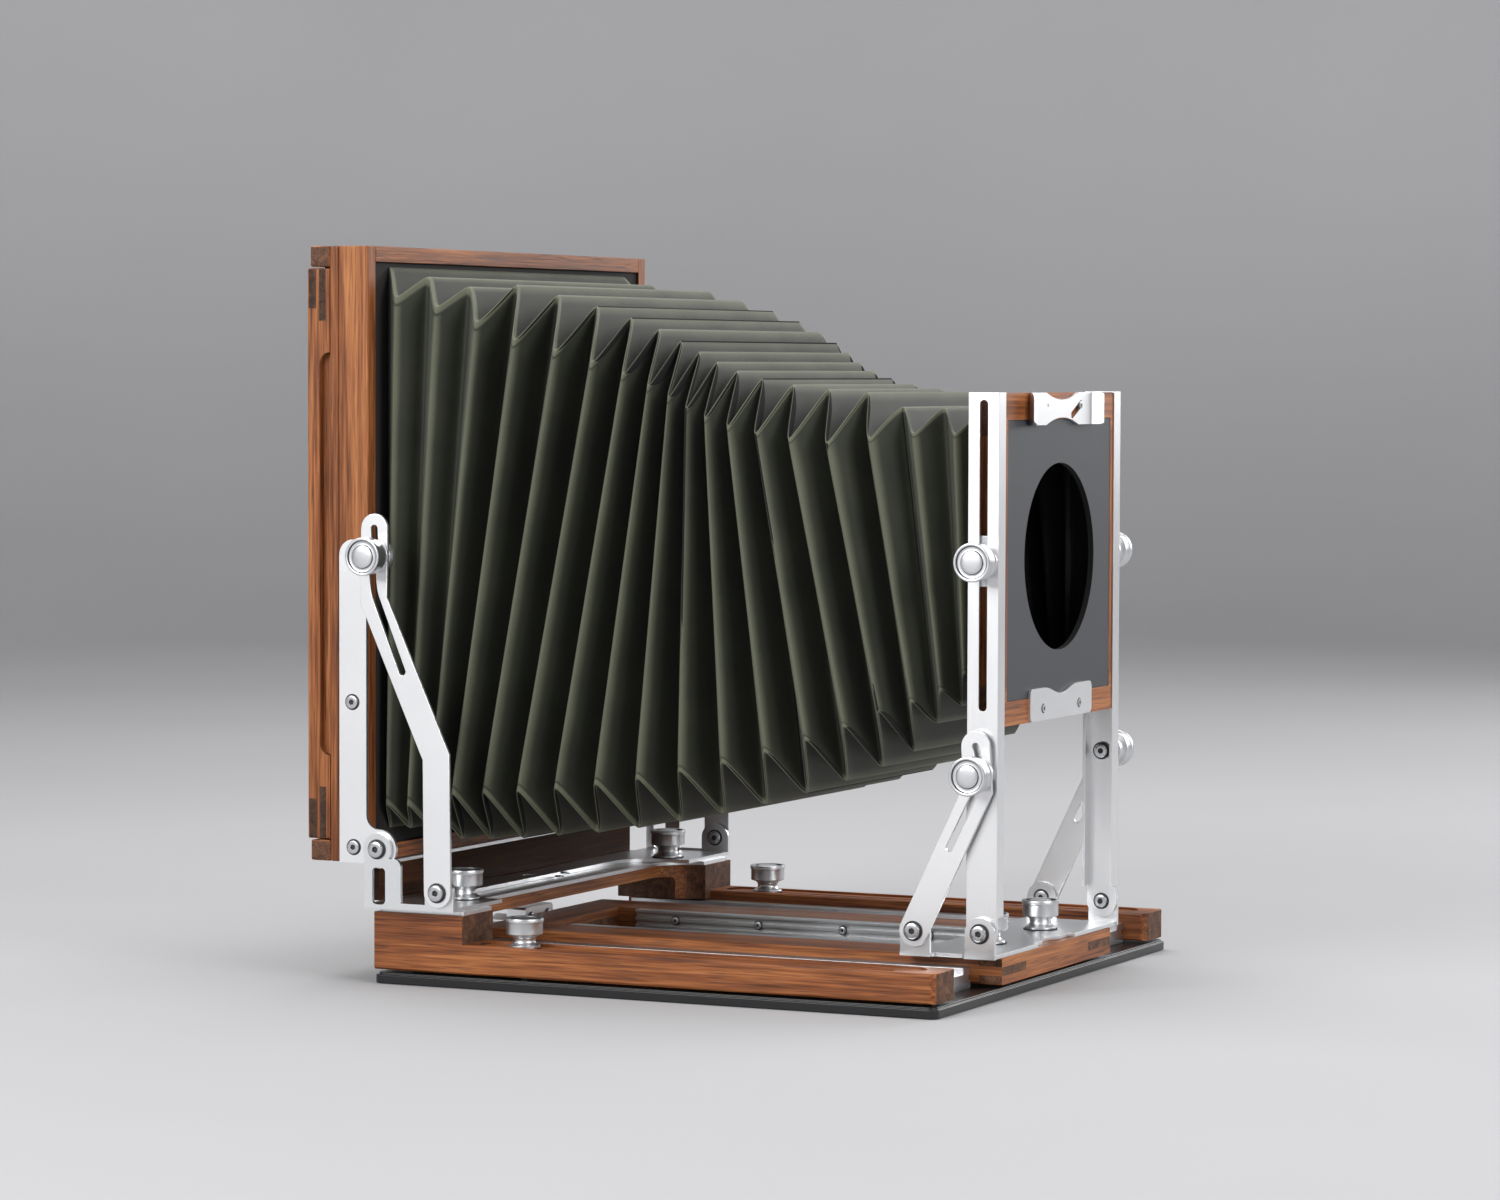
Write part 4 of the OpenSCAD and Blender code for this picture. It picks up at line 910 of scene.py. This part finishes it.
def add_screws():
    head = screw_head()
    tree = screw_tree(head)
    ids = input_ids(tree)
    plain_head = 2.6 * MM
    rear_foot_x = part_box("rear_strut_screws")[1][0] - plain_head
    front_foot_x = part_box("front_strut_screws")[1][0] - plain_head
    bracket_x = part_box("rear_brackets")[1][0]
    lip_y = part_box("lens_board_lip")[0][1]
    web_x = 0.1036
    track_x, track_z = 0.0461, 0.0198
    plate_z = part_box("rear_lower_plate")[1][2]
    # name, body, radius and height in millimetres, places and the ways they face
    sets = (
        ("rear_strut_foot_screws", "rear_swing_plate", 5.15, 2.7, side_pair(rear_foot_x, *REAR_FOOT)),
        ("rear_pivot_screws", "rear_standard", 5.15, 2.7, side_pair(0.2056, *REAR_PIVOT)),
        ("bracket_screws", "rear_standard", 4.2, 1.6,
         side_pair(bracket_x, 0.2125, 0.0878) + side_pair(bracket_x, 0.2135, 0.1822)),
        ("front_strut_foot_screws", "front_plate", 5.15, 2.7, side_pair(front_foot_x, *FRONT_FOOT)),
        ("front_pivot_screws", "front_uprights", 5.15, 2.7, side_pair(0.1092, *FRONT_PIVOT)),
        ("upright_inner_screws", "front_uprights", 4.6, 1.6, facing_in(web_x - 0.002, *FRONT_CLAMP)),
        ("front_pivot_nuts", "front_uprights", 4.4, 2.4, facing_in(web_x, *FRONT_PIVOT)),
        ("front_foot_nuts", "front_plate", 4.4, 1.6, facing_in(0.1064, *FRONT_FOOT)),
        ("rear_foot_nuts", "rear_swing_plate", 4.6, 1.8, facing_in(0.2028, *REAR_FOOT)),
        ("track_screws", "front_bed", 2.6, 1.4,
         [screw for y in (0.102, 0.0392, -0.024, -0.0877) for screw in facing_in(track_x, y, track_z)]),
        ("lip_screws", "lens_frame", 2.5, 0.6, facing_front(lip_y, (-0.0315, 0.181), (0.0315, 0.181))),
        ("latch_pin", "lens_frame", 2.3, 1.3, facing_front(-0.2003, (0.0285, 0.376))),
        ("bearing_screws", "base", 3.1, 1.6, facing_front(0.1835, (-0.012, 0.024), (0.012, 0.024))),
        ("lower_plate_screws", "rear_carriage", 3.0, 1.0,
         [((0.0, 0.168, plate_z), (0, 0, 1)), ((0.022, 0.1752, plate_z), (0, 0, 1))]),
    )
    for name, body, radius, height, places in sets:
        mesh = bpy.data.meshes.new(name)
        mesh.from_pydata([place for place, aim in places], [], [])
        aims = mesh.attributes.new("aim", "FLOAT_VECTOR", "POINT")
        for mark, (place, aim) in zip(aims.data, places):
            mark.vector = aim
        piece = linked(name, mesh)
        spread = piece.modifiers.new("screws", "NODES")
        spread.node_group = tree
        spread[ids["Head Radius"]] = radius * MM
        spread[ids["Head Height"]] = height * MM
        settle(baked(piece, SCREW_SHARP_FROM), body, "steel")
    bpy.data.objects.remove(head)


add_screws()


# Wood and metal that keep their CAD shape

for node, grain in (("side_rail_left", 1), ("side_rail_right", 1), ("bridge_beam", 0)):
    finish_node(node, WOOD[grain], "walnut", 0.6 * MM, 3)
finish_node("rear_sill", DARK_WOOD, "dark_walnut", 0.6 * MM, 2)

for node in (
    "sill_cap", "rear_strut_left", "rear_strut_right", "front_strut_left",
    "front_strut_right", "lens_board_lip", "lens_board_latch", "front_carriage", "screw_bearing",
    "glass_clips",
):
    finish_node(node, ALUMINIUM, "satin_aluminium", 0.35 * MM, 2)
finish_node("rear_brackets", ALUMINIUM, "satin_aluminium", 0.3 * MM, 2, flatten=False)
for node in ("rear_lower_plate", "rear_upper_plate", "front_plate"):
    finish_node(node, PLATE, "satin_aluminium", 0.35 * MM, 2)
for node in ("upright_left", "upright_right"):
    finish_node(node, UPRIGHT, "satin_aluminium", 0.35 * MM, 2)
for node in ("guide_rails", "bed_tracks", "bed_runners", "carriage_runners"):
    finish_node(node, EXTRUDED, "satin_aluminium", 0.3 * MM, 2)
finish_node("focus_knob", TURNED, "satin_aluminium", 0.4 * MM, 2)
for node in (
    "tripod_bush", "rail_studs", "rear_plate_studs", "rear_strut_screws", "rear_frame_studs",
    "front_plate_studs", "front_strut_screws", "upright_studs", "lens_slides",
):
    finish_node(node, STEEL, "steel", 0.25 * MM, 2)
for node in ("focus_nut", "focus_screw"):
    finish_node(node, BRASS, "brass", 0.2 * MM, 1)
finish_node("base_plate", BLACK_PLATE, "black_plate", 0.5 * MM, 3)
for node in ("bellows_rear_frame", "bellows_front_frame"):
    finish_node(node, BLACK_BOARD, "dark_board", 0.4 * MM, 2)
finish_node("ground_glass", GLASS, "ground_glass", 0.3 * MM, 2)


def add_lens_board():
    """The lens board, with the wall of its hole blackened."""
    piece = finish_node("lens_board", CHARCOAL, "charcoal_board", 0.3 * MM, 2, flatten=False)
    piece.data.materials.append(LINING)
    hole_r = 60.7 * MM
    for face in piece.data.polygons:
        from_hole = math.hypot(face.center.x, face.center.z - LENS_CENTRE[1]) - hole_r
        if from_hole < 0.2 * MM and abs(face.normal.y) < 0.8:
            face.material_index = 1


def add_back_springs():
    """Each leaf in two halves, cut at the middle of its height."""
    low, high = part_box("back_springs")
    frame_low, frame_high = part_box("focusing_frame")
    middle = (low[2] + high[2]) / 2
    halves = (("low", -1, low[2], frame_low[2]), ("top", 1, high[2], frame_high[2]))
    for name, way, fixed, pushed in halves:
        mesh = tidy_copy("back_springs", flatten=False)
        work = opened(mesh)
        cut(work, (0, 0, middle), (0, 0, way), clear_inner=True)
        bmesh.ops.holes_fill(work, edges=[edge for edge in work.edges if edge.is_boundary])
        piece = add_piece(f"back_springs_{name}", closed(work, mesh), STEEL)
        eased(piece, 0.1 * MM, 1)
        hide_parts("back_springs")
        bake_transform(piece)


add_lens_board()
add_back_springs()


# Wooden frames, made of boards with their own grain

# Which of a frame's materials a board takes
GRAIN_X, GRAIN_Y, GRAIN_Z, INSIDE, FINGER = range(5)
# Further out than any board
FAR = 1.0


def four_boards(work, outer, inner, y0, y1):
    """A frame of two uprights and two rails between them; outer and inner are (x, low z, high z)."""
    ox, oz0, oz1 = outer
    ix, iz0, iz1 = inner
    for s in (-1, 1):
        x0, x1 = sorted((s * ix, s * ox))
        board(work, (x0, y0, oz0), (x1, y1, oz1), GRAIN_Z)
    board(work, (-ix, y0, oz0), (ix, y1, iz0), GRAIN_X)
    board(work, (-ix, y0, iz1), (ix, y1, oz1), GRAIN_X)


def inside(point, low, high):
    return all(a <= x <= b for a, x, b in zip(low, point, high))


def add_rear_frame():
    low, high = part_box("rear_frame")
    wall = 0.0105
    slack = 0.1 * MM
    inner_low = (low[0] + wall - slack, low[1] - slack, low[2] + wall - slack)
    inner_high = (high[0] - wall + slack, high[1] + slack, high[2] - wall + slack)

    def build(work):
        outer = (high[0], low[2], high[2])
        inner = (high[0] - wall, low[2] + wall, high[2] - wall)
        four_boards(work, outer, inner, low[1], high[1])
        for face in work.faces:
            middle = face.calc_center_median()
            if inside(middle, inner_low, inner_high):
                face.material_index = INSIDE
    piece = joined("rear_frame_boards", build, *WOOD, LINING, ease=0.9 * MM, segments=3)
    settle(piece, "rear_standard", "walnut", "rear_frame")


def add_reversing_back():
    low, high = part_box("reversing_back")
    strip = 0.0066
    opening = 0.154
    mid = (low[2] + high[2]) / 2
    rail_h = 0.0135
    rail_y = low[1] + strip - 0.01 * MM

    def build(work):
        outer = (high[0], low[2], high[2])
        inner = (opening, mid - opening, mid + opening)
        four_boards(work, outer, inner, low[1], low[1] + strip)
        for z0 in (low[2], high[2] - rail_h):
            board(work, (low[0], rail_y, z0), (high[0], high[1], z0 + rail_h), GRAIN_X)
    piece = joined("reversing_back_boards", build, *WOOD, ease=1.2 * MM, segments=3)
    settle(piece, "rear_standard", "walnut", "reversing_back")


def add_grained(node, cuts, boards, rest, width):
    """A CAD frame cut along its joints; every board has its own grain and every joint shows end grain."""
    mesh = tidy_copy(node)
    work = opened(mesh)
    for axis, places in cuts:
        way = Vector([float(k == axis) for k in range(3)])
        for place in places:
            cut(work, way * place, way)
    closed(work, mesh)
    piece = add_piece(node + "_boards", mesh, *WOOD, LINING, END_PATCH)
    for face in mesh.polygons:
        home = [grain for low, high, grain in boards if inside(face.center, low, high)]
        face.material_index = home[0] if home else rest
    eased(piece, width, 3)
    settle(piece, BODY_OF[node], "walnut", node)


def both_sides(x0, x1, y0, y1, z0, z1, grain):
    return [((x0, y0, z0), (x1, y1, z1), grain), ((-x1, y0, z0), (-x0, y1, z1), grain)]


def add_lens_frame():
    seat_low, seat_high = 0.1988, 0.3568
    opening, edge = 0.0795, 0.5 * MM
    boards = [
        ((-opening, -FAR, seat_low - edge), (opening, FAR, seat_high + edge), INSIDE),
        ((-FAR, -FAR, seat_high), (FAR, FAR, FAR), GRAIN_X),
        ((-FAR, -FAR, 0), (FAR, FAR, seat_low), GRAIN_X),
    ]
    add_grained("lens_frame", [(2, (seat_low, seat_high))], boards, GRAIN_Z, 0.6 * MM)


def add_bed_frame():
    low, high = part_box("bed_frame")
    inner = 0.054
    front = low[1] + 0.016
    rear = high[1] - 0.033
    step = (high[2] - low[2]) / 3
    tongue = (low[2] + step, low[2] + 2 * step)
    boards = both_sides(inner, FAR, -FAR, front, *tongue, GRAIN_Y)
    boards += both_sides(inner, FAR, rear, FAR, *tongue, GRAIN_X)
    boards += both_sides(inner, FAR, rear, FAR, -FAR, FAR, GRAIN_Y)
    boards += [
        ((-FAR, -FAR, -FAR), (FAR, front, FAR), GRAIN_X),
        ((-inner, rear, -FAR), (inner, FAR, FAR), GRAIN_X),
    ]
    cuts = [(0, (-inner, inner)), (1, (front, rear)), (2, tongue)]
    add_grained("bed_frame", cuts, boards, GRAIN_Y, 0.6 * MM)


def add_focusing_frame():
    low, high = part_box("focusing_frame")
    stile = high[0] - 0.052
    deep, shallow = 0.034, 0.026
    fingers = (
        (low[1] + 0.0028, low[1] + 0.0078, deep),
        (low[1] + 0.0099, low[1] + 0.0156, shallow),
    )
    boards = []
    for start, end, reach in fingers:
        boards += both_sides(stile, FAR, start, end, high[2] - reach, FAR, FINGER)
        boards += both_sides(stile, FAR, start, end, -FAR, low[2] + reach, FINGER)
    boards += [((-stile, -FAR, -FAR), (stile, FAR, FAR), GRAIN_X)]
    cuts = [
        (0, (-stile, stile)),
        (1, [place for start, end, reach in fingers for place in (start, end)]),
        (2, (low[2] + shallow, low[2] + deep, high[2] - deep, high[2] - shallow)),
    ]
    add_grained("focusing_frame", cuts, boards, GRAIN_Z, 0.8 * MM)


add_rear_frame()
add_reversing_back()
add_lens_frame()
add_bed_frame()
add_focusing_frame()


# Studio


# The sweep: flat floor, then a curve up into a wall, in metres
FLOOR_R, CURVE_R, WALL_TOP = 3.9, 1.9, 3.4
CURVE_STEPS = 12
# Just under the base plate
FLOOR_Z = -0.4 * MM
FLOOR_GREY, WALL_GREY = (0.35, 0.35, 0.357), (0.7, 0.7, 0.71)
WALL_RISE = (-0.3, 1.1)
AIR_COLOUR, AIR_STRENGTH = (0.36, 0.36, 0.37, 1), 1.28
# Lamps: name, place, where they aim, size in metres, power in watts
LAMPS = (
    ("soft_left", (-2.6, 0.9, 1.5), (0, 0, 0.25), (1.6, 1.6), 60),
    ("soft_front", (-1.0, -3.0, 1.4), (0, 0, 0.2), (1.8, 1.4), 53),
    ("soft_top", (0.3, 0.3, 2.6), (0, 0, 0.2), (2.0, 2.0), 53),
    ("soft_right", (2.6, -1.0, 1.2), (0, 0, 0.25), (1.4, 1.6), 26),
)


def add_sweep():
    rows = [(r, 0, "round") for r in (0.02, 1.5, 3.0)]
    for k in range(CURVE_STEPS + 1):
        angle = math.pi / 2 * k / CURVE_STEPS
        rows.append((FLOOR_R + CURVE_R * math.sin(angle), CURVE_R * (1 - math.cos(angle)), "round"))
    rows.append((FLOOR_R + CURVE_R, WALL_TOP, "round"))
    work = bmesh.new()
    lathe(work, rows, 96, (0, 0, 1), (0, 0, FLOOR_Z), lid=False)
    bmesh.ops.reverse_faces(work, faces=work.faces)
    mesh = closed(work, bpy.data.meshes.new("studio_sweep"))
    mesh.shade_smooth()
    sweep = linked("studio_sweep", mesh)
    tone = Finish("studio_grey", (0.36, 0.36, 0.365), 0.75)
    cloud = tone.noise(1.2, 3.0) * 0.2
    wall = tone.axes(tone.place)[2].ramp(*WALL_RISE)
    tone.set(Base_Color=tone.blend(cloud + wall * 0.8, FLOOR_GREY, WALL_GREY))
    mesh.materials.append(tone.material)


def add_light():
    world = bpy.data.worlds.new("studio_air")
    world.use_nodes = True
    air = world.node_tree.nodes["Background"]
    air.inputs["Color"].default_value = AIR_COLOUR
    air.inputs["Strength"].default_value = AIR_STRENGTH
    bpy.context.scene.world = world
    for name, place, aim, size, power in LAMPS:
        light = bpy.data.lights.new(name, "AREA")
        light.shape = "RECTANGLE"
        light.size, light.size_y = size
        light.energy = power
        holder = linked(name, light)
        holder.location = place
        holder.rotation_euler = (Vector(aim) - Vector(place)).to_track_quat("-Z", "Y").to_euler()


# The photograph's view, solved from the object's own edges: angles in degrees, place in metres,
# lens and sensor in millimetres
YAW, PITCH, ROLL = 25.3473, 2.7781, 0.1718
EYE = (-2.89467, -1.34700, 0.39969)
FOCAL_LENGTH, SENSOR_WIDTH = 114.989, 36


def add_camera():
    yaw, pitch, roll = (math.radians(a) for a in (YAW, PITCH, ROLL))
    forward = Vector((math.cos(yaw) * math.cos(pitch), math.sin(yaw) * math.cos(pitch), -math.sin(pitch)))
    right = forward.cross(Vector((0, 0, 1))).normalized()
    up = right.cross(forward)
    rolled_right = math.cos(roll) * right + math.sin(roll) * up
    rolled_up = -math.sin(roll) * right + math.cos(roll) * up
    lens = bpy.data.cameras.new("studio_camera")
    lens.sensor_fit = "HORIZONTAL"
    lens.sensor_width = SENSOR_WIDTH
    lens.lens = FOCAL_LENGTH
    lens.clip_end = 60
    camera = linked("studio_camera", lens)
    turn = Matrix((rolled_right, rolled_up, -forward)).transposed().to_4x4()
    camera.matrix_world = Matrix.Translation(EYE) @ turn
    bpy.context.scene.camera = camera


add_sweep()
add_light()
add_camera()
bpy.context.scene.view_settings.view_transform = "Standard"
